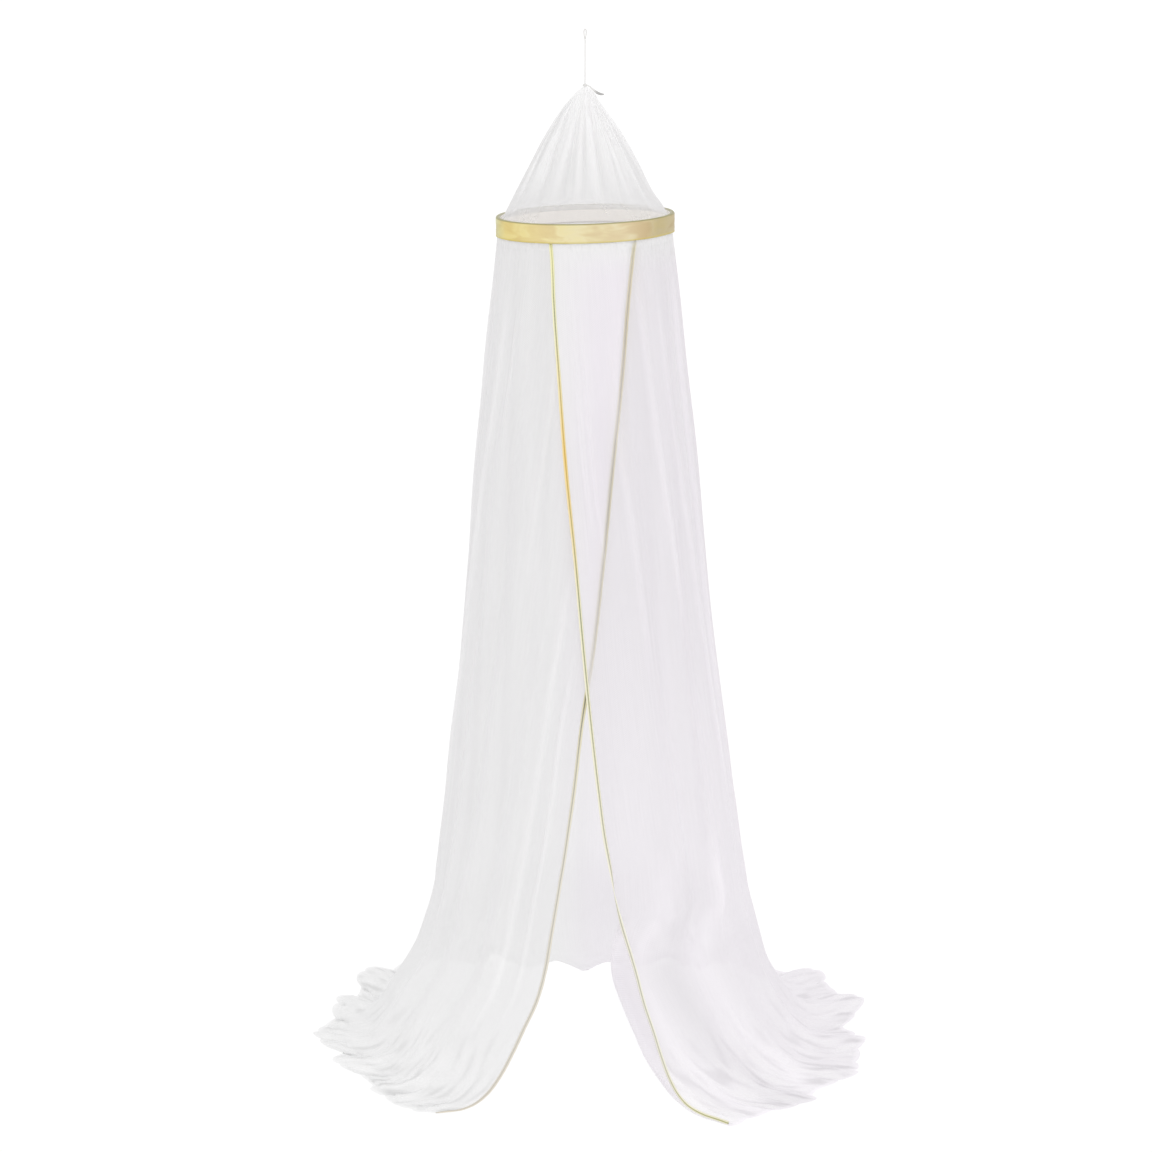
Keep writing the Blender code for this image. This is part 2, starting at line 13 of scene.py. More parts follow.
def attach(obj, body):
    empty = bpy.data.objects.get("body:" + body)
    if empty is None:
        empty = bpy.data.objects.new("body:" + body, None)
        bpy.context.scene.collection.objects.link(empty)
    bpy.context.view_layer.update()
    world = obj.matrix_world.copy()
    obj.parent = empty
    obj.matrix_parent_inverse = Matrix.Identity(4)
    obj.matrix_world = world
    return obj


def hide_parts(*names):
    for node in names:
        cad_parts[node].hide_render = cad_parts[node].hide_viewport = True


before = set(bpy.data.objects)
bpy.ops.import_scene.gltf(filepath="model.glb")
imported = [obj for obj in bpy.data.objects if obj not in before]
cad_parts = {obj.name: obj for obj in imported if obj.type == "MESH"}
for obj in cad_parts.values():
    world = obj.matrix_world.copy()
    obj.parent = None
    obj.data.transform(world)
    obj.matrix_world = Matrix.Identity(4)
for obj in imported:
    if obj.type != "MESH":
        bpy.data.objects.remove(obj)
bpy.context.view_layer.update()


# Hanging cord
# Thin white cotton cord, laid from three strands, that carries the whole canopy. It runs taut from
# the tied neck of the cone up to its knot.
HANG_HEIGHT = 2.444
CORD_DIAMETER = 0.0022
CORD_FOOT, CORD_TOP = 2.3190, 2.4197
CORD_STRANDS = 3
CORD_LAY = 0.0070
CORD_SIDES = 12
CORD_STEP = 0.0006


def place(x, y, height):
    return Vector((x, y, height - HANG_HEIGHT))


def between(a, b, share):
    return a + (b - a) * share


def ease(value):
    """Smooth 0 to 1 for a value that goes from 0 to 1."""
    value = min(max(value, 0.0), 1.0)
    return value * value * (3 - 2 * value)


def linear(hex_colour):
    """An sRGB hex colour as linear red, green, blue and alpha."""
    parts = [int(hex_colour[i:i + 2], 16) / 255 for i in (1, 3, 5)]
    return (*(c / 12.92 if c <= 0.04045 else ((c + 0.055) / 1.055) ** 2.4 for c in parts), 1.0)


def add_node(material, kind, inputs=None, stops=(), **settings):
    """Adds a node with its settings. An input is a value, or another node's output to link.

    Inputs go by name, or by number where names repeat. Of a map range, 0 is the value, 1 and 2 are
    the range it is taken from and 3 and 4 the one it is taken to. Of a mix, 0 is the factor, 6 and 7
    are the colours, and output 2 is their mix. Stops are a ramp's (place, sRGB hex colour) pairs."""
    node = material.node_tree.nodes.new(kind)
    for name, value in settings.items():
        setattr(node, name, value)
    for name, value in (inputs or {}).items():
        if isinstance(value, bpy.types.NodeSocket):
            material.node_tree.links.new(value, node.inputs[name])
        else:
            node.inputs[name].default_value = value
    if stops:
        ramp = node.color_ramp.elements
        ramp[0].position, ramp[0].color = stops[0][0], linear(stops[0][1])
        ramp[1].position, ramp[1].color = stops[-1][0], linear(stops[-1][1])
        for position, hex_colour in stops[1:-1]:
            ramp.new(position).color = linear(hex_colour)
    return node


def new_material(name, hex_colour, roughness):
    """A material with only its Principled shader and output, and the shader."""
    material = bpy.data.materials.new(name)
    material.use_nodes = True
    material.diffuse_color = linear(hex_colour)
    shader = material.node_tree.nodes["Principled BSDF"]
    shader.inputs["Base Color"].default_value = linear(hex_colour)
    shader.inputs["Roughness"].default_value = roughness
    return material, shader


def feed(material, output, shader, socket):
    material.node_tree.links.new(output, shader.inputs[socket])


def cotton_cord_material():
    """Bleached cotton, twisted: matt and a little fuzzy, with fibres of uneven tone."""
    material, shader = new_material("Cotton cord, bleached", "#E6E5E3", 0.85)
    shader.inputs["Sheen Weight"].default_value = 0.25
    fibre_size = 0.0006
    coords = add_node(material, "ShaderNodeTexCoord")
    fibres = add_node(
        material,
        "ShaderNodeTexNoise",
        {"Vector": coords.outputs["Object"], "Scale": 1 / fibre_size, "Detail": 3.0},
    )
    shades = add_node(
        material,
        "ShaderNodeMix",
        {0: fibres.outputs["Fac"], 6: linear("#D9D8D5"), 7: linear("#F0EFEC")},
        data_type="RGBA",
    )
    feed(material, shades.outputs[2], shader, "Base Color")
    bump = add_node(
        material, "ShaderNodeBump", {"Height": fibres.outputs["Fac"], "Strength": 0.5, "Distance": 0.0002}
    )
    feed(material, bump.outputs["Normal"], shader, "Normal")
    return material


def skin_rings(bm, rings, closed=False):
    """Faces between rings of points. An open row of rings is capped at both ends."""
    for i in range(len(rings) if closed else len(rings) - 1):
        here, there = rings[i], rings[(i + 1) % len(rings)]
        for k in range(len(here)):
            m = (k + 1) % len(here)
            bm.faces.new((here[k], here[m], there[m], there[k]))
    if not closed:
        bm.faces.new(rings[0])
        bm.faces.new(rings[-1])


def add_laid_cord(bm, path, diameter, closed=False, first_side=None):
    """A twisted cord along a path: each ring bulges at the strands and turns with the lay."""
    count = len(path)
    lengths = [(path[i] - path[i - 1]).length for i in range(0 if closed else 1, count)]
    total = sum(lengths)
    turns = total / CORD_LAY
    if closed:
        turns = max(round(turns), 1)
    side = first_side or (path[1] - path[0]).orthogonal()
    rings, run = [], 0.0
    for i, point in enumerate(path):
        if i:
            run += (point - path[i - 1]).length
        before = path[i - 1] if i or closed else point
        after = path[(i + 1) % count] if i < count - 1 or closed else point
        along = (after - before).normalized()
        side = (side - along * side.dot(along)).normalized()
        up = along.cross(side)
        ring = []
        for k in range(CORD_SIDES):
            turn = 2 * math.pi * k / CORD_SIDES
            reach = diameter / 2 * (0.80 + 0.20 * abs(math.cos(CORD_STRANDS / 2 * turn)))
            angle = turn + 2 * math.pi * turns * run / total
            ring.append(bm.verts.new(point + reach * (side * math.cos(angle) + up * math.sin(angle))))
        rings.append(ring)
    skin_rings(bm, rings, closed)


def add_piece(name, mesh, material, replaced):
    """A piece that rides on the part and stands for a node of it."""
    mesh.materials.append(material)
    mesh.shade_smooth()
    piece = bpy.data.objects.new(name, mesh)
    bpy.context.scene.collection.objects.link(piece)
    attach(piece, "root")
    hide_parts(replaced)
    return piece


def finish_piece(name, bm, material, replaced):
    """Turns a bmesh into a piece."""
    bmesh.ops.recalc_face_normals(bm, faces=bm.faces)
    mesh = bpy.data.meshes.new(name)
    bm.to_mesh(mesh)
    bm.free()
    return add_piece(name, mesh, material, replaced)


def straight_path(start, end, step):
    count = math.ceil((end - start).length / step)
    return [start.lerp(end, i / count) for i in range(count + 1)]


cotton = cotton_cord_material()
cord_path = straight_path(place(0, 0, CORD_FOOT), place(0, 0, CORD_TOP), CORD_STEP)
cord_bm = bmesh.new()
add_laid_cord(cord_bm, cord_path, CORD_DIAMETER)
cord = finish_piece("cord_strands", cord_bm, cotton, "hanging_cord")


# Hanging loop
# The cord's top end, turned back into a loop for the ceiling hook and closed by a small knot of two
# tight turns.
KNOT_TOP = 2.4255
LOOP_WIDTH = 0.0085
LOOP_STEPS = 96
KNOT_TURN_RADIUS = 0.00125
KNOT_TURN_DIAMETER = 0.0019
KNOT_TURN_HEIGHTS = (2.42155, 2.42345)
KNOT_TILT = 0.22


def loop_path():
    """A narrow drop that is widest near its top."""
    radius = CORD_DIAMETER / 2
    top, foot = HANG_HEIGHT - radius, KNOT_TOP - 0.002
    points = []
    for i in range(LOOP_STEPS):
        angle = 2 * math.pi * i / LOOP_STEPS
        narrow = 0.62 + 0.38 * math.cos(angle / 2) ** 2
        side = (LOOP_WIDTH / 2 - radius) * math.sin(angle) * narrow
        points.append(place(side, 0, (top + foot) / 2 + (top - foot) / 2 * math.cos(angle)))
    return points


def knot_turn_path(height, tilt):
    points = []
    for i in range(32):
        angle = 2 * math.pi * i / 32
        x, y = KNOT_TURN_RADIUS * math.cos(angle), KNOT_TURN_RADIUS * math.sin(angle)
        points.append(place(x, y * 0.9, height + x * tilt))
    return points


loop_bm = bmesh.new()
add_laid_cord(loop_bm, loop_path(), CORD_DIAMETER, closed=True, first_side=Vector((0, 1, 0)))
knot_core = straight_path(place(0, 0, CORD_TOP + 0.0003), place(0, 0, KNOT_TOP - 0.0006), CORD_STEP)
add_laid_cord(loop_bm, knot_core, KNOT_TURN_DIAMETER)
for turn_height, turn_tilt in zip(KNOT_TURN_HEIGHTS, (KNOT_TILT, -KNOT_TILT)):
    add_laid_cord(loop_bm, knot_turn_path(turn_height, turn_tilt), KNOT_TURN_DIAMETER, closed=True)
loop = finish_piece("loop_and_knot", loop_bm, cotton, "hanging_loop")


# Neck tie
# Grey woven tape that is wound tightly round the gathered top of the cone and knotted. One flat end
# is left loose and sticks out to the right.
TIE_TURN_RADIUS = 0.0041
TIE_TURN_DIAMETER = 0.0021
TIE_FOOT, TIE_HEIGHT = 2.3185, 0.0050
TIE_TURNS = 2.4
TAIL_WIDTH = 0.0065
TAIL_THICK = 0.0008
TAIL_CUP = 0.0009
TAIL_STEP = 0.0015
TAIL_PAINTED_SHADE_FROM, TAIL_PAINTED_SHADE_TO = 0.019, 0.027
# Distance to the right of the axis, height, turn of its face in degrees, share of the full width
TAIL_ROWS = (
    (0.0035, 2.3215, 90.0, 0.30),
    (0.0095, 2.3190, 80.0, 0.45),
    (0.0175, 2.3125, 66.0, 0.60),
    (0.0260, 2.3060, 54.0, 0.95),
    (0.0345, 2.3025, 48.0, 0.90),
    (0.0420, 2.3015, 44.0, 0.45),
)
# A wave texture of scale 1 repeats every 0.314 m
WAVE_PITCH = 0.314


def grey_tape_material():
    """Polyester twill tape: matt pale grey with ribs across it, and painted shade of its underside
    towards the tip of its loose end.
    """
    material, shader = new_material("Twill tape, grey", "#E2E1DF", 0.8)
    rib_pitch = 0.0008
    coords = add_node(material, "ShaderNodeTexCoord")
    ribs = add_node(
        material,
        "ShaderNodeTexWave",
        {
            "Vector": coords.outputs["Object"],
            "Scale": WAVE_PITCH / rib_pitch,
            "Distortion": 1.0,
            "Detail": 1.0,
        },
        bands_direction="DIAGONAL",
    )
    woven = add_node(
        material,
        "ShaderNodeMix",
        {0: ribs.outputs["Fac"], 6: linear("#DCDBD9"), 7: linear("#F2F1EF")},
        data_type="RGBA",
    )
    # Painted shade: the loose end darkens towards its tip, as the shade of its underside.
    parts = add_node(material, "ShaderNodeSeparateXYZ", {"Vector": coords.outputs["Object"]})
    painted_shade_at_tip = add_node(
        material, "ShaderNodeMapRange", {0: parts.outputs["X"], 1: TAIL_PAINTED_SHADE_FROM, 2: TAIL_PAINTED_SHADE_TO}
    )
    shades = add_node(
        material,
        "ShaderNodeMix",
        {0: painted_shade_at_tip.outputs[0], 6: woven.outputs[2], 7: linear("#B4B3B2")},
        data_type="RGBA",
    )
    feed(material, shades.outputs[2], shader, "Base Color")
    bump = add_node(
        material, "ShaderNodeBump", {"Height": ribs.outputs["Fac"], "Strength": 0.4, "Distance": 0.0002}
    )
    feed(material, bump.outputs["Normal"], shader, "Normal")
    return material


def wound_path():
    points = []
    steps = round(40 * TIE_TURNS)
    low, high = TIE_FOOT + TIE_TURN_DIAMETER / 2, TIE_FOOT + TIE_HEIGHT - TIE_TURN_DIAMETER / 2
    for i in range(steps + 1):
        angle = 2 * math.pi * TIE_TURNS * i / steps
        x, y = TIE_TURN_RADIUS * math.cos(angle), TIE_TURN_RADIUS * math.sin(angle)
        points.append(place(x, y, between(low, high, i / steps)))
    return points


def line_tangents(points, places):
    """Tangents for a smooth line through points at uneven places along it."""
    last = len(points) - 1
    slopes = [(points[i + 1] - points[i]) / (places[i + 1] - places[i]) for i in range(last)]
    tangents = [slopes[0]]
    for i in range(1, last):
        before, after = places[i] - places[i - 1], places[i + 1] - places[i]
        tangents.append((slopes[i - 1] * after + slopes[i] * before) / (before + after))
    tangents.append(slopes[-1])
    return tangents


def refine(lines, spacings):
    """Adds smooth lines between a list of lines of points, so that they are at most spacings apart."""
    count = len(lines[0])
    gaps = []
    for upper, lower in zip(lines, lines[1:]):
        gaps.append(max(sum((q - p).length for p, q in zip(upper, lower)) / count, 1e-5))
    places = [sum(gaps[:i]) for i in range(len(lines))]
    tangents = [line_tangents([line[k] for line in lines], places) for k in range(count)]
    result = []
    for i, gap in enumerate(gaps):
        steps = max(math.ceil(gap / spacings[i]), 1)
        for step in range(steps):
            t = step / steps
            h0, h1 = 2 * t ** 3 - 3 * t ** 2 + 1, t ** 3 - 2 * t ** 2 + t
            h2, h3 = 3 * t ** 2 - 2 * t ** 3, t ** 3 - t ** 2
            line = []
            for k in range(count):
                line.append(
                    lines[i][k] * h0 + tangents[k][i] * (h1 * gap)
                    + lines[i + 1][k] * h2 + tangents[k][i + 1] * (h3 * gap)
                )
            result.append(line)
    result.append(list(lines[-1]))
    return result


def turned(grid):
    """Swaps a grid's rows and columns."""
    return [list(line) for line in zip(*grid)]


def add_tail(bm):
    """The loose end: a thin strip with a cupped section that narrows at its tip."""
    rows = []
    for i, (x, height, face, share) in enumerate(TAIL_ROWS):
        x0, height0 = TAIL_ROWS[max(i - 1, 0)][:2]
        x1, height1 = TAIL_ROWS[min(i + 1, len(TAIL_ROWS) - 1)][:2]
        along = Vector((x1 - x0, 0.0, height1 - height0)).normalized()
        over = Vector((-along.z, 0.0, along.x))
        angle = math.radians(face)
        across = Vector((0, math.cos(angle), 0)) + over * math.sin(angle)
        normal = along.cross(across).normalized()
        middle = place(x, -0.001, height)
        front, back = [], []
        for step in (-1.0, -0.5, 0.0, 0.5, 1.0):
            cup = normal * (TAIL_CUP * step * step * share)
            point = middle + across * (step * share * TAIL_WIDTH / 2) - cup
            front.append(point + normal * (TAIL_THICK / 2))
            back.append(point - normal * (TAIL_THICK / 2))
        rows.append(front + back[::-1])
    rows = refine(rows, [TAIL_STEP] * (len(rows) - 1))
    skin_rings(bm, [[bm.verts.new(point) for point in row] for row in rows])


tie_bm = bmesh.new()
add_laid_cord(tie_bm, wound_path(), TIE_TURN_DIAMETER)
add_tail(tie_bm)
finish_piece("tie_and_loose_end", tie_bm, grey_tape_material(), "neck_tie")


# Cone
# Fine white polyester net, gathered by hand into the neck. Its pleats are deep at the top and run
# out towards the hoop, where its edge is caught inside the band.
BAND_TOP, BAND_HEIGHT = 2.038, 0.042
HOOP_LEAN_DEG = 1.6
CONE_SWAY = 0.0040
# Height, radius, share of the gather depth
CONE_ROWS = (
    (2.3240, 0.0020, 0.00),
    (2.3185, 0.0021, 0.00),
    (2.3158, 0.0070, 0.00),
    (2.3085, 0.0160, 0.30),
    (2.2890, 0.0298, 0.75),
    (2.2200, 0.0745, 1.00),
    (2.1400, 0.1205, 0.90),
    (2.0800, 0.1545, 0.60),
    (2.0440, 0.1795, 0.20),
    (2.0260, 0.1901, 0.00),
)
# Gathers all the way round from the front: share of the turn, depth
GATHERS = (
    (0.8, 0.0050), (1.2, 0.0075), (1.0, 0.0055), (0.7, 0.0045), (1.3, 0.0080), (0.9, 0.0055),
    (1.1, 0.0065), (1.0, 0.0050), (0.8, 0.0060), (1.3, 0.0075), (0.9, 0.0050), (1.1, 0.0070),
    (0.7, 0.0045), (1.2, 0.0075), (1.0, 0.0060), (1.0, 0.0055),
)
RING_STEPS = 64
CONE_SPACING, CONE_FINE_COLUMNS = 0.006, 0.0028
# Small pleats between the gathers: turns round the cone, depth near the neck, height where they fade
CONE_PLEATS = (
    (37, 0.0030, 2.08),
    (61, 0.0014, 2.12),
    (97, 0.0004, 2.24),
)


def lean(x, share=1.0):
    """The right side of the hoop hangs a little higher than the left one."""
    return x * math.tan(math.radians(HOOP_LEAN_DEG)) * share


def net_material():
    """Knitted polyester net: white matt threads, so close that only some light comes through.

    More thread stands in the way where the net is seen at a slant and where it lies doubled, so its
    folds, edges and hems look denser than its flat parts. Its colour holds painted light and shade:
    painted whiter where threads crowd, and below 0 painted grey as the shade in a tight crease. Below the
    band, its right half has a painted lilac tint of the light from the right."""
    material, shader = new_material("Polyester net, white", "#ECEAEC", 0.85)
    shader.inputs["Sheen Weight"].default_value = 0.15
    shader.inputs["Sheen Roughness"].default_value = 0.5
    shader.inputs["Specular IOR Level"].default_value = 0.2
    # The real holes are about 1.2 mm wide, too fine to show from here, so they are drawn at 4 mm.
    hole_pitch = 0.0040
    hole_cover, thread_cover = 0.54, 0.59
    patch_size = 0.2
    streaks_across, streaks_down = 260.0, 5.0
    streak_low, streak_high = 0.97, 1.03
    # The slant at which the net grows no denser, and how fast it does before that
    least_cosine, slant_power = 0.22, 0.7
    lilac_light_left, lilac_light_right = -0.08, 0.03
    lilac_light_top, lilac_light_foot = -0.46, -0.52
    # Share of the light on a thread that comes out at its far side
    thread_glow = 0.40
    cloth = add_node(material, "ShaderNodeUVMap", uv_map="cloth")
    threads = []
    for angle in (60, -60):
        slant = add_node(
            material,
            "ShaderNodeMapping",
            {"Vector": cloth.outputs["UV"], "Rotation": (0, 0, math.radians(angle))},
        )
        wave = add_node(
            material,
            "ShaderNodeTexWave",
            {"Vector": slant.outputs["Vector"], "Scale": WAVE_PITCH / hole_pitch, "Distortion": 0.0},
        )
        threads.append(wave.outputs["Fac"])
    lattice = add_node(material, "ShaderNodeMath", {0: threads[0], 1: threads[1]}, operation="MAXIMUM")
    patches = add_node(
        material,
        "ShaderNodeTexNoise",
        {"Vector": cloth.outputs["UV"], "Scale": 1 / patch_size, "Detail": 2.0},
    )
    along_warp = add_node(
        material,
        "ShaderNodeMapping",
        {"Vector": cloth.outputs["UV"], "Scale": (streaks_across, streaks_down, 1.0)},
    )
    warp_streaks = add_node(
        material, "ShaderNodeTexNoise", {"Vector": along_warp.outputs["Vector"], "Scale": 1.0, "Detail": 2.0}
    )
    evenness = add_node(
        material,
        "ShaderNodeMapRange",
        {0: warp_streaks.outputs["Fac"], 1: 0.3, 2: 0.7, 3: streak_low, 4: streak_high},
    )
    thread_share = add_node(
        material,
        "ShaderNodeMapRange",
        {0: lattice.outputs[0], 1: 0.0, 2: 1.0, 3: hole_cover, 4: thread_cover},
    )
    cover = add_node(
        material, "ShaderNodeMath", {0: thread_share.outputs[0], 1: evenness.outputs[0]}, operation="MULTIPLY"
    )
    gaps = add_node(material, "ShaderNodeMath", {0: 1.0, 1: cover.outputs[0]}, operation="SUBTRACT")
    facing = add_node(material, "ShaderNodeLayerWeight", {"Blend": 0.5})
    cosine = add_node(material, "ShaderNodeMath", {0: 1.0, 1: facing.outputs["Facing"]}, operation="SUBTRACT")
    at_least = add_node(
        material, "ShaderNodeMath", {0: cosine.outputs[0], 1: least_cosine}, operation="MAXIMUM"
    )
    softened = add_node(
        material, "ShaderNodeMath", {0: at_least.outputs[0], 1: slant_power}, operation="POWER"
    )
    layers = add_node(material, "ShaderNodeAttribute", attribute_name="layers")
    slant_layers = add_node(
        material, "ShaderNodeMath", {0: layers.outputs["Fac"], 1: softened.outputs[0]}, operation="DIVIDE"
    )
    light_through = add_node(
        material, "ShaderNodeMath", {0: gaps.outputs[0], 1: slant_layers.outputs[0]}, operation="POWER"
    )
    single = add_node(
        material,
        "ShaderNodeMix",
        {0: patches.outputs["Fac"], 6: linear("#E9E9E9"), 7: linear("#EDEDED")},
        data_type="RGBA",
    )
    # Painted light and shade: whiter where threads crowd, and greyer below 0 where shade falls in a tight
    # crease.
    painted_light_and_shade = add_node(material, "ShaderNodeAttribute", attribute_name="painted_light_and_shade")
    shades = add_node(
        material,
        "ShaderNodeMix",
        {0: painted_light_and_shade.outputs["Fac"], 6: single.outputs[2], 7: linear("#FDFDFD")},
        data_type="RGBA",
        clamp_factor=False,
    )
    # Painted lilac light: below the band the right half takes the lilac of the light from the right.
    place_on_part = add_node(material, "ShaderNodeTexCoord")
    parts = add_node(material, "ShaderNodeSeparateXYZ", {"Vector": place_on_part.outputs["Object"]})
    at_right = add_node(
        material, "ShaderNodeMapRange", {0: parts.outputs["X"], 1: lilac_light_left, 2: lilac_light_right}
    )
    below_band = add_node(
        material, "ShaderNodeMapRange", {0: parts.outputs["Z"], 1: lilac_light_top, 2: lilac_light_foot}
    )
    lilac = add_node(
        material, "ShaderNodeMath", {0: at_right.outputs[0], 1: below_band.outputs[0]}, operation="MULTIPLY"
    )
    painted_lilac_light = add_node(
        material,
        "ShaderNodeMix",
        {0: lilac.outputs[0], 6: shades.outputs[2], 7: linear("#FEFBFF")},
        data_type="RGBA",
        blend_type="MULTIPLY",
    )
    feed(material, painted_lilac_light.outputs[2], shader, "Base Color")
    glow = add_node(material, "ShaderNodeBsdfTranslucent", {"Color": painted_lilac_light.outputs[2]})
    threads_lit = add_node(
        material, "ShaderNodeMixShader", {0: thread_glow, 1: shader.outputs["BSDF"], 2: glow.outputs["BSDF"]}
    )
    air = add_node(material, "ShaderNodeBsdfTransparent")
    net = add_node(
        material,
        "ShaderNodeMixShader",
        {0: light_through.outputs[0], 1: threads_lit.outputs["Shader"], 2: air.outputs["BSDF"]},
    )
    output = material.node_tree.nodes["Material Output"]
    material.node_tree.links.new(net.outputs["Shader"], output.inputs["Surface"])
    return material


def run_lengths(points):
    """Distance of each point from the first one, along the line."""
    lengths = [0.0]
    for p, q in zip(points, points[1:]):
        lengths.append(lengths[-1] + (q - p).length)
    return lengths


def grid_normals(grid, closed):
    """Unit normals of a grid of points, outward where the columns run anticlockwise from above."""
    rows, columns = len(grid), len(grid[0])
    normals = []
    for j in range(rows):
        line = []
        for k in range(columns):
            up, down = grid[max(j - 1, 0)][k], grid[min(j + 1, rows - 1)][k]
            if closed:
                left, right = grid[j][k - 1], grid[j][(k + 1) % columns]
            else:
                left, right = grid[j][max(k - 1, 0)], grid[j][min(k + 1, columns - 1)]
            line.append((right - left).cross(up - down).normalized())
        normals.append(line)
    return normals


def sheet_piece(name, grid, shares, material, replaced, closed=False):
    """A cloth surface through a grid of points. Its UV map holds distances down the cloth and, at its
    middle row, across it. Each point also has its shares: how many times the net lies on itself
    there, and the painted light and shade in its colour."""
    rows, columns = len(grid), len(grid[0])
    last = columns if closed else columns - 1
    faces, cloth = [], []
    across = run_lengths(grid[rows // 2] + grid[rows // 2][:1])
    down = turned([run_lengths(line) for line in turned(grid)])
    for j in range(rows - 1):
        for k in range(last):
            m = (k + 1) % columns
            faces.append((j * columns + k, j * columns + m, (j + 1) * columns + m, (j + 1) * columns + k))
            for row, column in ((j, k), (j, k + 1), (j + 1, k + 1), (j + 1, k)):
                cloth += (across[column], down[row][column % columns])
    mesh = bpy.data.meshes.new(name)
    mesh.from_pydata([point for line in grid for point in line], [], faces)
    mesh.uv_layers.new(name="cloth").data.foreach_set("uv", cloth)
    for i, attribute_name in enumerate(("layers", "painted_light_and_shade")):
        attribute = mesh.attributes.new(attribute_name, "FLOAT", "POINT")
        attribute.data.foreach_set("value", [values[i] for line in shares for values in line])
    return add_piece(name, mesh, material, replaced)


def cone_control_grid():
    """The points of the cone's main gathers."""
    total = sum(row[0] for row in GATHERS)
    columns, start = [], 0.0
    for width, depth in GATHERS:
        for phase in (0.0, 0.25, 0.5, 0.75):
            angle = 2 * math.pi * (start + phase * width) / total
            columns.append((angle, -math.cos(2 * math.pi * phase) * depth))
        start += width
    even = [2 * math.pi * i / RING_STEPS for i in range(RING_STEPS)]
    grid = []
    for height, radius, share in CONE_ROWS:
        seam = ease((BAND_TOP + 0.02 - height) / 0.03)
        sway = CONE_SWAY * ease((2.312 - height) / 0.03) * ease((height - BAND_TOP) / 0.03)
        points = []
        for (angle, wave), ring_angle in zip(columns, even):
            seen = between(angle, ring_angle, seam)
            reach = radius + wave * share * min(radius / 0.06, 1.0)
            x, y = reach * math.sin(seen), -reach * math.cos(seen)
            points.append(place(x - sway, y, height + lean(x, ease((2.30 - height) / 0.2))))
        grid.append(points)
    return grid


def cone_pleat_depth(turn, height):
    """The small pleats: uneven waves that start at the neck and fade towards the hoop."""
    depth = 0.0
    for waves, full_depth, fade_height in CONE_PLEATS:
        wander = 1.6 * noise.noise(Vector((math.cos(turn) * 2, math.sin(turn) * 2, waves)))
        strength = 0.55 + 0.9 * noise.noise(Vector((math.cos(turn) * 4, math.sin(turn) * 4, waves + 9)))
        fade = ease((height - fade_height) / 0.10) * ease((2.316 - height) / 0.02)
        depth += full_depth * strength * fade * math.sin(waves * turn + wander)
    return depth


def cone_grid():
    rows = refine(cone_control_grid(), [CONE_SPACING] * (len(CONE_ROWS) - 1))
    columns = turned(rows)
    columns.append(list(columns[0]))
    columns = refine(columns, [CONE_FINE_COLUMNS] * (len(columns) - 1))
    grid = turned(columns[:-1])
    normals = grid_normals(grid, closed=True)
    for line, line_normals in zip(grid, normals):
        for k, normal in enumerate(line_normals):
            turn = math.atan2(line[k].x, -line[k].y)
            height = line[k].z + HANG_HEIGHT
            near_neck = min(math.hypot(line[k].x, line[k].y) / 0.05, 1.0)
            line[k] = line[k] + normal * (cone_pleat_depth(turn, height) * near_neck)
    return grid


def cone_shares(grid):
    """The gathered net lies in bundles that run from the neck and fade towards the band, denser near the
    neck, with painted light that makes it whiter there and gleams on the bundles. Just above the band
    its front is stretched, and the band shows through."""
    foot_radius, foot_layers, neck_layers, stretched_layers = 0.185, 1.15, 1.25, 0.30
    bundles_round, bundles_up, gleams_round, gleams_up = 6, 1.5, 9, 2.5
    gathered_foot, gathered_top = 2.05, 2.31
    stretched_reach, stretched_radius = 0.052, 0.16
    shares = []
    for line in grid:
        line_shares = []
        for point in line:
            up = 1 - min(math.hypot(point.x, point.y) / foot_radius, 1.0)
            turn = math.atan2(point.x, -point.y)
            height = point.z + HANG_HEIGHT
            side, front = math.cos(turn), math.sin(turn)
            bundle = noise.noise(Vector((bundles_round * side, bundles_round * front, bundles_up * height)))
            gleam = noise.noise(Vector((gleams_round * side, gleams_round * front, gleams_up * height + 7)))
            gathered = ease((height - gathered_foot) / 0.08) * ease((gathered_top - height) / 0.03)
            layers = between(foot_layers, neck_layers, up) * (1 + 0.9 * gathered * max(bundle, -0.5))
            limit = stretched_reach * min(-point.y / stretched_radius, 1.0)
            at_front = ease((0.02 - point.y) / 0.08) * ease((limit - height + BAND_TOP) / 0.014)
            # The white share is painted light: whiter near the neck and in gleams on the gathered bundles.
            white = 1.5 * up ** 1.4 + 0.8 * gathered * gleam
            line_shares.append((between(layers, stretched_layers, at_front), max(min(white, 1.0), 0.0)))
        shares.append(line_shares)
    return shares


net = net_material()
cone_points = cone_grid()
cone = sheet_piece(
    "cone_cloth", cone_points, cone_shares(cone_points), net, "cone_net", closed=True
)


# Hoop
# White plastic tube bent to a ring 0.40 m across. It carries the band and both nets, and shows only
# from below, through the open foot of the band.
BAND_RADIUS, BAND_THICK = 0.200, 0.0012
HOOP_DIAMETER = 0.006
HOOP_SIDES, HOOP_STEPS = 16, 192
GAP = 0.0003


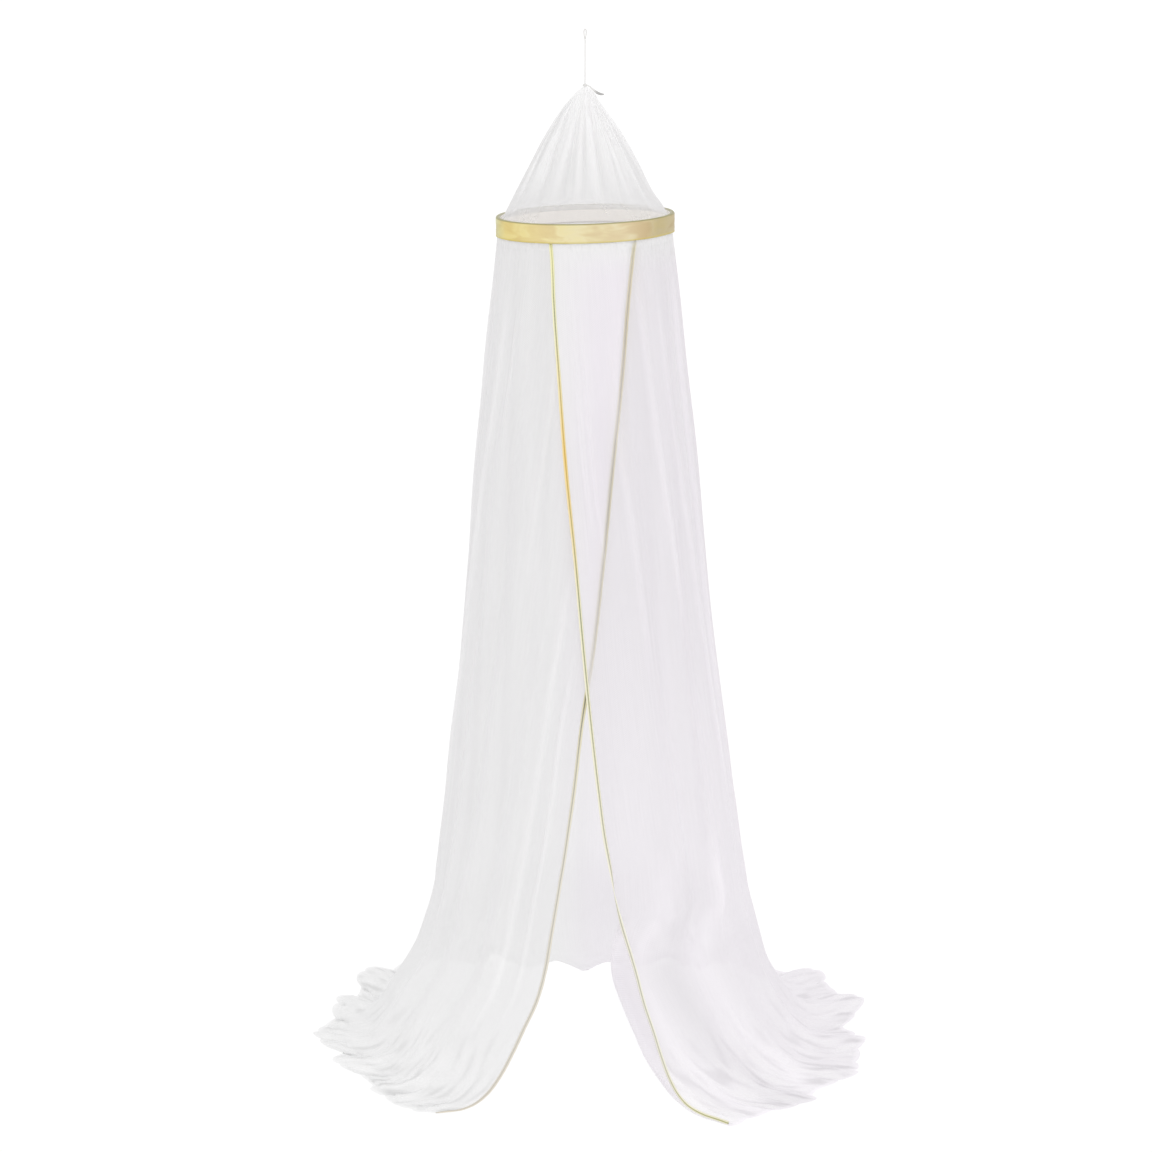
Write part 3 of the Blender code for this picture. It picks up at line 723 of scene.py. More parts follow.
def hoop_plastic_material():
    """Extruded polyethylene: waxy white with a soft gloss and faint draw marks."""
    material, shader = new_material("Polyethylene tube, white", "#E8E7E3", 0.4)
    coords = add_node(material, "ShaderNodeTexCoord")
    marks_per_metre = 220.0
    marks = add_node(
        material,
        "ShaderNodeTexNoise",
        {"Vector": coords.outputs["Object"], "Scale": marks_per_metre, "Detail": 4.0},
    )
    shades = add_node(
        material,
        "ShaderNodeMix",
        {0: marks.outputs["Fac"], 6: linear("#DEDDD9"), 7: linear("#EFEEEB")},
        data_type="RGBA",
    )
    feed(material, shades.outputs[2], shader, "Base Color")
    rough = add_node(material, "ShaderNodeMapRange", {0: marks.outputs["Fac"], 3: 0.32, 4: 0.50})
    feed(material, rough.outputs[0], shader, "Roughness")
    return material


def add_turned(bm, section, steps, shape=None):
    """Takes a closed section of (radius, height) points round the axis, and leans it as the hoop."""
    rings = []
    for i in range(steps):
        angle = 2 * math.pi * i / steps
        ring = []
        for k, (radius, height) in enumerate(section):
            reach = radius + (shape(angle, k) if shape else 0.0)
            x, y = reach * math.sin(angle), -reach * math.cos(angle)
            ring.append(bm.verts.new(place(x, y, height + lean(x))))
        rings.append(ring)
    skin_rings(bm, rings, closed=True)


hoop_radius = BAND_RADIUS - BAND_THICK - GAP - HOOP_DIAMETER / 2
hoop_height = BAND_TOP - BAND_THICK - GAP - HOOP_DIAMETER / 2
hoop_section = []
for corner in range(HOOP_SIDES):
    corner_angle = 2 * math.pi * corner / HOOP_SIDES
    hoop_section.append((
        hoop_radius + HOOP_DIAMETER / 2 * math.sin(corner_angle),
        hoop_height + HOOP_DIAMETER / 2 * math.cos(corner_angle),
    ))
hoop_bm = bmesh.new()
add_turned(hoop_bm, hoop_section, HOOP_STEPS)
finish_piece("hoop_tube", hoop_bm, hoop_plastic_material(), "hoop")


# Hoop band
# Gold satin ribbon, folded over the hoop and sewn together below it. It puckers along the seam and
# creases on the slant where the hoop bends it.
BAND_STEPS = 384
RIBBON_THICK = 0.0005
BAND_ROLL = 0.0022
# Slanting creases of the outer face: degrees from the front, height share, half-length in degrees,
# half-height as a share, rise in shares over its length, depth
BAND_CREASES = (
    (-62, 0.62, 16, 0.10, 0.55, -0.0011),
    (-50, 0.35, 14, 0.08, 0.40, 0.0010),
    (-41, 0.72, 18, 0.09, -0.35, 0.0009),
    (-30, 0.45, 20, 0.08, 0.30, -0.0010),
    (-18, 0.24, 13, 0.08, -0.30, 0.0009),
    (-8, 0.66, 16, 0.09, 0.35, 0.0008),
    (6, 0.40, 18, 0.08, -0.25, -0.0008),
    (20, 0.68, 15, 0.10, -0.45, 0.0009),
    (33, 0.34, 13, 0.10, 0.40, 0.0008),
    (46, 0.58, 11, 0.12, 0.60, -0.0011),
    (60, 0.40, 14, 0.10, -0.50, 0.0009),
    (95, 0.60, 18, 0.09, 0.40, -0.0009),
    (125, 0.36, 16, 0.09, -0.35, 0.0009),
    (160, 0.60, 20, 0.09, 0.40, 0.0008),
    (200, 0.42, 18, 0.10, -0.45, -0.0010),
    (235, 0.62, 16, 0.09, 0.35, 0.0009),
    (265, 0.38, 15, 0.10, 0.50, -0.0009),
)
# Where the hoop has a slight corner or runs flatter: degrees from the front, reach, half-width
HOOP_CORNERS = ((40, 0.0010, 9), (60, -0.0009, 13), (79, 0.0028, 9), (-72, 0.0012, 14))
# The seam near the band's foot: height above the foot, how far it draws in, pucker pitch in metres
SEAM_HEIGHT, SEAM_DEPTH, SEAM_PITCH = 0.0035, 0.0006, 0.0075


def satin_shader(name, hex_colour):
    """Polyester satin: long floats that gleam softly across the ribbon."""
    material, shader = new_material(name, hex_colour, 0.45)
    shader.inputs["Metallic"].default_value = 0.08
    shader.inputs["Sheen Weight"].default_value = 0.25
    shader.inputs["Sheen Roughness"].default_value = 0.35
    shader.inputs["Anisotropic"].default_value = 0.5
    float_pitch = 0.0006
    coords = add_node(material, "ShaderNodeTexCoord")
    floats = add_node(
        material,
        "ShaderNodeTexWave",
        {"Vector": coords.outputs["Object"], "Scale": WAVE_PITCH / float_pitch, "Distortion": 0.4},
        bands_direction="Z",
    )
    bump = add_node(
        material, "ShaderNodeBump", {"Height": floats.outputs["Fac"], "Strength": 0.12, "Distance": 0.0001}
    )
    feed(material, bump.outputs["Normal"], shader, "Normal")
    return material, shader, coords


def band_satin_material():
    """The band's satin: pale gold and yellower along its foot, with painted light and shade: yellower at
    its left end, khaki where its right end turns from the light, and painted shade in slanting creased
    streaks. The weave's back, on the inside of the ring, is nearly white."""
    material, shader, coords = satin_shader("Satin ribbon, pale gold", "#E8D8A6")
    streaks_along, streaks_up, streak_tilt_deg = 15.0, 46.0, 24
    crease_shade_strength = 0.35
    foot_edge, rim_from, rim_to = 0.005, 0.0030, 0.0010
    parts = add_node(material, "ShaderNodeSeparateXYZ", {"Vector": coords.outputs["Object"]})
    along = add_node(
        material, "ShaderNodeMapRange", {0: parts.outputs["X"], 1: -BAND_RADIUS, 2: BAND_RADIUS}
    )
    # Painted light and shade along the band: yellower at the left end, khaki where the right end turns from
    # the light.
    gold_and_painted_light_stops = (
        (0.00, "#CFCC90"), (0.06, "#E6D486"), (0.24, "#EDDFA6"), (0.45, "#EADFB4"), (0.72, "#E6DAB6"),
        (0.83, "#D3C39A"), (0.90, "#BFB086"), (1.00, "#BDAE82"),
    )
    gold_and_painted_light = add_node(material, "ShaderNodeValToRGB", {"Fac": along.outputs[0]}, gold_and_painted_light_stops)
    slant = add_node(
        material,
        "ShaderNodeMapping",
        {
            "Vector": coords.outputs["Object"],
            "Rotation": (0, math.radians(streak_tilt_deg), 0),
            "Scale": (streaks_along, streaks_along, streaks_up),
        },
    )
    # Painted shade: slanting streaks darken the gold along the band's creases.
    streaks = add_node(
        material,
        "ShaderNodeTexNoise",
        {
            "Vector": slant.outputs["Vector"],
            "Scale": 1.0,
            "Detail": 2.0,
            "Roughness": 0.45,
            "Distortion": 0.7,
        },
    )
    crease_shade_stops = ((0.34, "#D9B98C"), (0.47, "#F0E4C6"), (0.56, "#FFFFFF"), (0.68, "#FFFCD6"))
    shades = add_node(material, "ShaderNodeValToRGB", {"Fac": streaks.outputs["Fac"]}, crease_shade_stops)
    painted_crease_shade = add_node(
        material,
        "ShaderNodeMix",
        {0: crease_shade_strength, 6: gold_and_painted_light.outputs["Color"], 7: shades.outputs["Color"]},
        data_type="RGBA",
        blend_type="MULTIPLY",
    )
    # Height on the band, apart from the hoop's lean
    rise = add_node(
        material,
        "ShaderNodeMath",
        {0: parts.outputs["X"], 1: math.tan(math.radians(HOOP_LEAN_DEG))},
        operation="MULTIPLY",
    )
    level = add_node(
        material, "ShaderNodeMath", {0: parts.outputs["Z"], 1: rise.outputs[0]}, operation="SUBTRACT"
    )
    foot = BAND_TOP - BAND_HEIGHT - HANG_HEIGHT
    near_foot = add_node(
        material, "ShaderNodeMapRange", {0: level.outputs[0], 1: foot, 2: foot + foot_edge, 3: 0.75, 4: 0.0}
    )
    edged = add_node(
        material,
        "ShaderNodeMix",
        {0: near_foot.outputs[0], 6: painted_crease_shade.outputs[2], 7: linear("#D6C45C")},
        data_type="RGBA",
    )
    # Distance from the axis, which tells the inner face from the outer one
    across = add_node(
        material, "ShaderNodeVectorMath", {0: coords.outputs["Object"], 1: (1, 1, 0)}, operation="MULTIPLY"
    )
    radius = add_node(material, "ShaderNodeVectorMath", {0: across.outputs["Vector"]}, operation="LENGTH")
    inside = BAND_RADIUS - BAND_THICK - HOOP_DIAMETER
    outward = add_node(
        material, "ShaderNodeMapRange", {0: radius.outputs["Value"], 1: inside, 2: inside + 0.004}
    )
    lining = add_node(
        material,
        "ShaderNodeMix",
        {0: near_foot.outputs[0], 6: linear("#FFFBF5"), 7: linear("#C9C4BF")},
        data_type="RGBA",
    )
    faces = add_node(
        material,
        "ShaderNodeMix",
        {0: outward.outputs[0], 6: lining.outputs[2], 7: edged.outputs[2]},
        data_type="RGBA",
    )
    top = BAND_TOP - HANG_HEIGHT
    rim = add_node(
        material,
        "ShaderNodeMapRange",
        {0: level.outputs[0], 1: top - rim_from, 2: top - rim_to, 3: 0.0, 4: 0.85},
    )
    rimmed = add_node(
        material,
        "ShaderNodeMix",
        {0: rim.outputs[0], 6: faces.outputs[2], 7: linear("#8F8C56")},
        data_type="RGBA",
    )
    feed(material, rimmed.outputs[2], shader, "Base Color")
    return material


def band_section():
    """The ribbon's outline: out and up the outer face, over the hoop, down the inner face and back."""
    foot = BAND_TOP - BAND_HEIGHT
    inner = BAND_RADIUS - 2 * BAND_THICK - HOOP_DIAMETER - 2 * GAP
    outline = []
    for i in range(17):
        outline.append((BAND_RADIUS, between(foot, BAND_TOP - BAND_ROLL, i / 16)))
    for i in range(1, 5):
        angle = math.pi / 8 * i
        outline.append((
            BAND_RADIUS - BAND_ROLL * (1 - math.cos(angle)), BAND_TOP - BAND_ROLL * (1 - math.sin(angle))
        ))
    for i in range(4):
        angle = math.pi / 8 * i
        outline.append((
            inner + BAND_ROLL * (1 - math.sin(angle)), BAND_TOP - BAND_ROLL * (1 - math.cos(angle))
        ))
    for i in range(9):
        outline.append((inner, between(BAND_TOP - BAND_ROLL, foot, i / 8)))
    back = []
    for i, (radius, height) in enumerate(outline):
        middle = (BAND_RADIUS + inner) / 2
        inward = -1 if radius > middle else 1
        roofed = min(height, BAND_TOP - RIBBON_THICK)
        back.append((radius + inward * RIBBON_THICK, roofed))
    return outline, outline + back[::-1]


band_outline, band_ring = band_section()


def band_shape(angle, k):
    """How far the band's face stands out at an angle, for the k-th point of its section."""
    count = len(band_outline)
    k = k if k < count else 2 * count - 1 - k
    radius, height = band_outline[k]
    outer = radius > BAND_RADIUS - BAND_ROLL
    above = height - (BAND_TOP - BAND_HEIGHT)
    share = above / BAND_HEIGHT
    degrees = math.degrees(angle)
    shift = 0.0
    if outer:
        for place_deg, middle, half_length, half_height, rise, depth in BAND_CREASES:
            off = (degrees - place_deg + 180) % 360 - 180
            along = off / half_length
            if abs(along) < 1:
                up = (share - middle - rise * along / 2) / half_height
                shift += depth * (1 - along * along) ** 2 * math.exp(-up * up)
        shift += 0.0006 * noise.noise(Vector((math.sin(angle) * 9, math.cos(angle) * 9, share * 3)))
        for place_deg, reach, half_width in HOOP_CORNERS:
            off = ((degrees - place_deg + 180) % 360 - 180) / half_width
            shift += reach * math.exp(-off * off)
    run = angle * BAND_RADIUS
    drawn = math.exp(-((above - SEAM_HEIGHT) / 0.0022) ** 2)
    pucker = math.sin(2 * math.pi * run / SEAM_PITCH + 2 * noise.noise(Vector((run * 20, 0, 0))))
    shift -= (SEAM_DEPTH + 0.0002 * pucker) * drawn * (1 if outer else -1) * 0.7
    edge = math.exp(-(above / 0.004) ** 2)
    shift += 0.0005 * pucker * edge * (1 if outer else -1)
    return shift * ease((1.04 - share) / 0.12)


band_bm = bmesh.new()
add_turned(band_bm, band_ring, BAND_STEPS, band_shape)
band = finish_piece("band_ribbon", band_bm, band_satin_material(), "hoop_band")


# Net wall
# One flared panel of the same net. It is sewn into the band for more than one turn of the hoop, so
# its two front edges overlap at the top, cross at half height and lie apart on the floor.
NET_THICK = 0.0012
TURN_HALF_WIDTH = 0.012
SPLIT_AT_BAND, SPLIT_BELOW, SPLIT_DROP = 0.0036, 0.012, 0.10
OVERLAP_REACH, OVERLAP_FADE = 0.26, 0.09
# Height, share of the way from foot to hem outline, half-widths to the left and right,
# half-depths to the front and back, degrees from the front to the front edge and to the rear edge,
# width of net turned back at the front edge, share of the fold depth, share lying on the floor
WALL_ROWS = (
    (2.006, 0.00, 0.1976, 0.1976, 0.1976, 0.1976, -23.6, 35.2, -0.0120, 0.00, 0.00),
    (1.9944, 0.00, 0.1976, 0.1976, 0.1976, 0.1976, -23.3, 34.9, -0.0120, 0.00, 0.00),
    (1.960, 0.00, 0.1990, 0.2000, 0.1990, 0.1990, -22.0, 33.2, -0.0120, 0.18, 0.00),
    (1.880, 0.00, 0.2070, 0.2090, 0.2050, 0.2060, -19.8, 29.2, -0.0120, 0.30, 0.00),
    (1.700, 0.00, 0.2260, 0.2275, 0.2220, 0.2240, -15.0, 22.4, -0.0120, 0.45, 0.00),
    (1.500, 0.00, 0.2465, 0.2505, 0.2400, 0.2450, -10.3, 15.2, -0.0120, 0.55, 0.00),
    (1.300, 0.00, 0.2625, 0.2680, 0.2580, 0.2640, -5.3, 9.8, -0.0120, 0.62, 0.00),
    (1.100, 0.00, 0.2780, 0.2880, 0.2750, 0.2820, -1.4, 4.6, -0.0120, 0.70, 0.00),
    (0.920, 0.00, 0.2960, 0.3110, 0.2920, 0.3000, 2.0, -0.8, -0.0120, 0.76, 0.00),
    (0.770, 0.00, 0.3110, 0.3320, 0.3080, 0.3150, 4.8, -4.0, -0.0120, 0.82, 0.00),
    (0.660, 0.00, 0.3225, 0.3470, 0.3190, 0.3270, 7.0, -6.6, -0.0120, 0.87, 0.00),
    (0.625, 0.00, 0.3265, 0.3530, 0.3220, 0.3310, 7.9, -7.4, -0.0085, 0.88, 0.00),
    (0.595, 0.00, 0.3300, 0.3575, 0.3240, 0.3340, 8.7, -8.1, -0.0045, 0.90, 0.00),
    (0.565, 0.00, 0.3340, 0.3620, 0.3260, 0.3380, 9.5, -8.9, -0.0010, 0.91, 0.00),
    (0.535, 0.00, 0.3380, 0.3665, 0.3290, 0.3420, 10.3, -9.6, 0.0025, 0.92, 0.00),
    (0.505, 0.00, 0.3420, 0.3715, 0.3310, 0.3460, 11.3, -10.3, 0.0060, 0.93, 0.00),
    (0.475, 0.00, 0.3465, 0.3770, 0.3340, 0.3500, 12.4, -11.0, 0.0100, 0.95, 0.00),
    (0.445, 0.00, 0.3500, 0.3825, 0.3360, 0.3550, 13.4, -11.7, 0.0225, 0.96, 0.00),
    (0.405, 0.00, 0.3575, 0.3895, 0.3390, 0.3620, 14.9, -12.5, 0.0430, 0.98, 0.00),
    (0.350, 0.00, 0.3710, 0.4040, 0.3440, 0.3720, 16.6, -13.5, 0.0600, 1.00, 0.00),
    (0.270, 0.00, 0.3980, 0.4260, 0.3520, 0.3900, 18.5, -15.7, 0.0560, 1.00, 0.00),
    (0.200, 0.00, 0.4360, 0.4480, 0.3600, 0.4080, 20.5, -18.5, 0.0500, 1.00, 0.05),
    (0.140, 0.10, 0.4500, 0.4580, 0.3620, 0.4120, 22.2, -21.5, 0.0420, 1.00, 0.15),
    (0.085, 0.22, 0.4560, 0.4640, 0.3640, 0.4160, 24.2, -25.0, 0.0280, 1.00, 0.35),
    (0.045, 0.35, 0.4600, 0.4680, 0.3650, 0.4180, 26.4, -28.5, 0.0180, 1.00, 0.60),
    (0.018, 0.50, 0.4600, 0.4680, 0.3650, 0.4180, 29.2, -32.5, 0.0120, 0.96, 0.85),
    (0.003, 0.67, 0.4600, 0.4680, 0.3650, 0.4180, 32.8, -37.0, 0.0090, 0.90, 1.00),
    (0.000, 0.83, 0.4600, 0.4680, 0.3650, 0.4180, 35.6, -40.5, 0.0070, 0.80, 1.00),
    (0.000, 1.00, 0.4600, 0.4680, 0.3650, 0.4180, 37.5, -43.0, 0.0060, 0.62, 1.00),
)
# Hem outline on the floor: degrees from the front towards the right, radius
HEM_OUTLINE = (
    (-180, 0.440), (-165, 0.472), (-152, 0.560), (-139, 0.655), (-128, 0.690), (-118, 0.680),
    (-108, 0.632), (-95, 0.670), (-84, 0.625), (-76, 0.592), (-66, 0.558), (-59, 0.560), (-51, 0.562),
    (-43, 0.497), (0, 0.430), (38, 0.545), (44, 0.545), (50, 0.575), (58, 0.610), (73, 0.655),
    (82, 0.682), (94, 0.674), (104, 0.710), (112, 0.712), (119, 0.732), (126, 0.700), (136, 0.630),
    (150, 0.545), (165, 0.472), (180, 0.440),
)
# Main folds from the front edge round the back to the rear edge: share of the width, depth on the
# wall, height of the ridge on the floor, how far its lobe reaches past the outline
FOLDS = (
    (0.80, 0.008, 0.018, 0.012),
    (1.10, 0.013, 0.030, 0.026),
    (0.90, 0.009, 0.024, 0.010),
    (1.25, 0.014, 0.034, 0.030),
    (0.80, 0.010, 0.026, 0.016),
    (1.05, 0.012, 0.032, 0.024),
    (1.20, 0.011, 0.022, 0.014),
    (0.95, 0.009, 0.018, 0.010),
    (1.15, 0.012, 0.020, 0.014),
    (0.85, 0.009, 0.024, 0.016),
    (1.15, 0.013, 0.032, 0.028),
    (0.90, 0.010, 0.028, 0.014),
    (1.20, 0.014, 0.034, 0.028),
    (0.85, 0.009, 0.024, 0.012),
    (1.05, 0.012, 0.028, 0.024),
    (0.80, 0.010, 0.020, 0.012),
)
FOLD_PHASES = (0.00, 0.27, 0.50, 0.73)
FOLDS_FROM, FOLDS_TO = 0.055, 0.955
BOUND_WIDTH = 0.0075
TURN_STEPS = (-0.010, 0.0, 0.010, 0.028)
LEAST_TURN = 0.0225
TURN_REACH = 0.28
REAR_EDGE_STEPS = (0.040, 0.022, BOUND_WIDTH, 0.0)
EDGE_LIFT, EDGE_LIFT_REACH = 0.0018, 0.050
WALL_SPACING, FLOOR_SPACING, FINE_COLUMNS = 0.022, 0.0090, 0.0043


def read_table(table, key):
    """Straight interpolation in a table of (key, value) rows."""
    for (k0, v0), (k1, v1) in zip(table, table[1:]):
        if k0 <= key <= k1:
            return between(v0, v1, (key - k0) / (k1 - k0))
    return table[0][1] if key < table[0][0] else table[-1][1]


def fold_columns():
    """Where the main folds bend the wall: share of the width, wave from -1 to 1, the fold's own row."""
    total = sum(row[0] for row in FOLDS)
    columns, start = [], 0.0
    for row in FOLDS:
        for phase in FOLD_PHASES:
            share = between(FOLDS_FROM, FOLDS_TO, (start + phase * row[0]) / total)
            columns.append((share, -math.cos(2 * math.pi * phase), row))
        start += row[0]
    columns.append((FOLDS_TO, -1.0, FOLDS[-1]))
    return columns


def outline_point(row, degrees):
    """A level's plain outline, before folds, at an angle from the front."""
    _, flare, left, right, front, back = row[:6]
    angle = math.radians(degrees)
    wide = right if math.sin(angle) > 0 else left
    deep = front if math.cos(angle) > 0 else back
    x, y = wide * math.sin(angle), -deep * math.cos(angle)
    if flare:
        radius = read_table(HEM_OUTLINE, (degrees + 180) % 360 - 180)
        x = between(x, radius * math.sin(angle), flare)
        y = between(y, -radius * math.cos(angle), flare)
    return x, y


def outline_speed(row, degrees):
    """Metres of outline for each degree."""
    (x0, y0), (x1, y1) = outline_point(row, degrees - 1), outline_point(row, degrees + 1)
    return math.hypot(x1 - x0, y1 - y0) / 2


def turn_back(distance, width):
    """Where the cloth at a distance from its front edge lies once the edge is turned back:
    distance along the outline from the unturned edge, and how far it stands out in front."""
    share = (distance - width) / TURN_HALF_WIDTH
    if share >= 1:
        return distance, 0.0
    rise = 2 * TURN_HALF_WIDTH / math.pi
    if share <= -1:
        return 2 * width - distance, 2 * rise
    quarter = math.pi / 2 * share
    return width + TURN_HALF_WIDTH - rise * math.cos(quarter), rise * (1 - math.sin(quarter))


def layer_split(row, share):
    """The front edge's side stands outside the rear edge's side where they overlap."""
    height = row[0]
    below = ease((BAND_TOP - BAND_HEIGHT - height) / SPLIT_DROP)
    crossed = ease((height - 0.45) / 0.3)
    outward = SPLIT_BELOW / 2 * below * crossed
    apart = between(SPLIT_AT_BAND, SPLIT_BELOW, below) * crossed
    at_front = ease((OVERLAP_REACH - share) / OVERLAP_FADE)
    at_rear = ease((share - 1 + OVERLAP_REACH) / OVERLAP_FADE)
    return outward * at_front - (apart - outward) * at_rear


def wall_point(row, degrees, share, wave, fold, stand_out, lift):
    """A point of the net on one level."""
    height, flare, depth_share, on_floor = row[0], row[1], row[9], row[10]
    x, y = outline_point(row, degrees)
    out = Vector((math.sin(math.radians(degrees)), -math.cos(math.radians(degrees)), 0.0))
    depth = ridge = reach = 0.0
    if fold:
        _, depth, ridge, reach = fold
    slope = on_floor * math.pi / 2
    offset = depth * depth_share * wave * (1 - on_floor) + reach * flare ** 3 * wave
    offset += layer_split(row, share) + stand_out * math.cos(slope)
    point = Vector((x, y, 0.0)) + out * offset
    raised = ridge * depth_share * (wave + 1) / 2 * on_floor
    point.z = NET_THICK / 2 + GAP / 3 + height + raised + lift * on_floor + stand_out * math.sin(slope)
    point.z += lean(point.x, ease((height - 1.6) / 0.35))
    return place(*point)


def wall_control_grid():
    """Rows of points from the front edge round to the rear edge, one for each level."""
    grid = []
    for row in WALL_ROWS:
        front_edge, rear_edge, width = row[6], row[7] + 360, row[8]
        speed = outline_speed(row, front_edge)
        start = front_edge - turn_back(0.0, width)[0] / speed
        fold_at = max(width, LEAST_TURN)
        points = []
        for distance in (0.0, BOUND_WIDTH, *(fold_at + step for step in TURN_STEPS)):
            along, stand_out = turn_back(distance, width)
            lift = EDGE_LIFT * ease(1.6 * (1 - distance / EDGE_LIFT_REACH))
            degrees = start + along / speed
            share = max(degrees - start, 0.0) / (rear_edge - start)
            points.append(wall_point(row, degrees, share, 0.0, None, stand_out, lift))
        for share, wave, fold in fold_columns():
            first = between(start, front_edge, ease(share / TURN_REACH))
            points.append(wall_point(row, between(first, rear_edge, share), share, wave, fold, 0.0, 0.0))
        speed = outline_speed(row, rear_edge)
        for distance in REAR_EDGE_STEPS:
            lift = EDGE_LIFT * ease(1.6 * (1 - distance / EDGE_LIFT_REACH))
            degrees = rear_edge - distance / speed
            share = (degrees - start) / (rear_edge - start)
            points.append(wall_point(row, degrees, share, 0.0, None, 0.0, lift))
        grid.append(points)
    return grid


# Creases of the wall, as soft ridges and one broad hollow: distance from the front edge (or from the
# rear edge, where it is negative), how far that grows per metre further down, height of top and
# foot, height of the ridge, half-width
WALL_CREASES = (
    (0.040, 0.010, 1.97, 1.30, 0.0030, 0.0045),
    (0.058, 0.014, 1.92, 1.20, 0.0022, 0.0040),
    (0.115, 0.050, 1.85, 0.95, 0.0024, 0.0090),
    (0.190, 0.090, 1.98, 1.05, 0.0030, 0.0100),
    (0.255, 0.120, 1.90, 0.60, 0.0028, 0.0080),
    (0.330, 0.130, 1.97, 0.80, 0.0034, 0.0110),
    (0.420, 0.170, 1.98, 1.10, 0.0030, 0.0100),
    (0.560, 0.200, 1.95, 0.70, 0.0034, 0.0110),
    (0.700, 0.250, 1.97, 0.90, 0.0030, 0.0100),
    (0.820, 0.280, 1.90, 1.10, 0.0030, 0.0090),
    (0.132, 0.000, 0.66, -0.22, 0.0030, 0.0280),
    (0.192, 0.080, 0.62, -0.22, -0.0022, 0.0320),
    (0.290, 0.070, 0.66, -0.22, 0.0030, 0.0340),
    (-0.045, -0.020, 1.10, 0.15, 0.0036, 0.0060),
    (-0.075, -0.040, 1.30, 0.10, 0.0034, 0.0080),
    (-0.150, -0.060, 1.80, 1.20, 0.0024, 0.0070),
    (-0.265, -0.060, 1.88, 1.48, 0.0034, 0.0040),
    (-0.300, -0.130, 1.90, 0.60, 0.0030, 0.0090),
    (-0.390, -0.170, 1.97, 0.90, 0.0034, 0.0100),
    (-0.470, -0.200, 1.95, 1.20, 0.0030, 0.0090),
    (-0.600, -0.240, 1.97, 0.80, 0.0034, 0.0110),
)
BAND_PLEAT_PITCH, BAND_PLEAT_DEPTH, BAND_PLEAT_DROP = 0.0125, 0.0010, 0.11
WRINKLE_DEPTH = 0.0060
# Rounded lobes of the hem between its notches, repeated along it: width, reach, height of its ridge
HEM_LOBES = (
    (0.064, 0.012, 0.011), (0.092, 0.018, 0.015), (0.055, 0.008, 0.008), (0.078, 0.015, 0.013),
    (0.104, 0.020, 0.016), (0.060, 0.010, 0.009), (0.083, 0.014, 0.014), (0.050, 0.007, 0.008),
    (0.096, 0.019, 0.014), (0.070, 0.012, 0.012), (0.058, 0.009, 0.010), (0.088, 0.016, 0.015),
)
HEM_RISE, LOBE_LENGTH = 0.35, 0.24
# The crumpled net on the floor: width and length of its creases, how far in from the hem they reach
CRUMPLE_WIDTH, CRUMPLE_LENGTH, CRUMPLE_REACH = 0.018, 0.075, 0.288
# The middle of the back, as a share of the hem, and the half-width and fade of its smooth part
BACK_MIDDLE, SMOOTH_HALF_WIDTH, SMOOTH_FADE = 0.51, 0.09, 0.22
# The lowest height at which a crease's ridge is counted in full
FULL_RIDGE = 0.003


def crease_height(distance, total, height):
    """Height of all the listed creases at a distance from the front edge."""
    result = 0.0
    for start, spread, top, foot, ridge, half_width in WALL_CREASES:
        if not foot < height < top:
            continue
        middle = start + spread * (top - height)
        if start < 0:
            middle += total
        off = (distance - middle) / half_width
        if abs(off) < 3:
            fade = ease((top - height) / 0.15) * ease((height - foot) / 0.25)
            result += ridge * fade * math.exp(-off * off)
    return result


def hem_lobe(distance):
    """The lobe at a distance along the hem: how round it stands there, from 0 at its notches to 1,
    its reach and its height."""
    rest = distance % sum(row[0] for row in HEM_LOBES)
    for width, reach, ridge in HEM_LOBES:
        if rest < width:
            return math.sin(math.pi * rest / width) ** 0.65, reach, ridge
        rest -= width
    return 0.0, 0.0, 0.0


def wall_detail(distance, total, down, height):
    """How far the net stands off its main folds: pleats below the band and creases."""
    edge = min(distance, total - distance)
    free = ease((edge - BOUND_WIDTH) / 0.03)
    pleat_wander = 1.8 * noise.noise(Vector((distance * 14, 0, 3)))
    pleats = BAND_PLEAT_DEPTH * math.sin(2 * math.pi * distance / BAND_PLEAT_PITCH + pleat_wander)
    pleats *= ease(1 - down / BAND_PLEAT_DROP) * (0.6 + 0.8 * noise.noise(Vector((distance * 30, 0, 5))))
    ripple = 0.0040 * noise.noise(Vector((distance * 11, height * 1.1, 7))) * ease(down / 0.25)
    return (pleats + ripple + crease_height(distance, total, height)) * free


def floor_crease(on_hem, to_hem):
    """The crumpled net on the floor: from -1 in a crease to 1 on a ridge."""
    slanting = on_hem + 0.45 * to_hem * noise.noise(Vector((on_hem * 3, 5, 17)))
    return noise.noise(Vector((slanting / CRUMPLE_WIDTH, to_hem / CRUMPLE_LENGTH, 13)))


def smooth_back(on_hem, hem_total):
    """From 0 at the middle of the back, where the net lies smooth, to 1 where it is crumpled."""
    return ease((abs(on_hem - BACK_MIDDLE * hem_total) - SMOOTH_HALF_WIDTH) / SMOOTH_FADE)


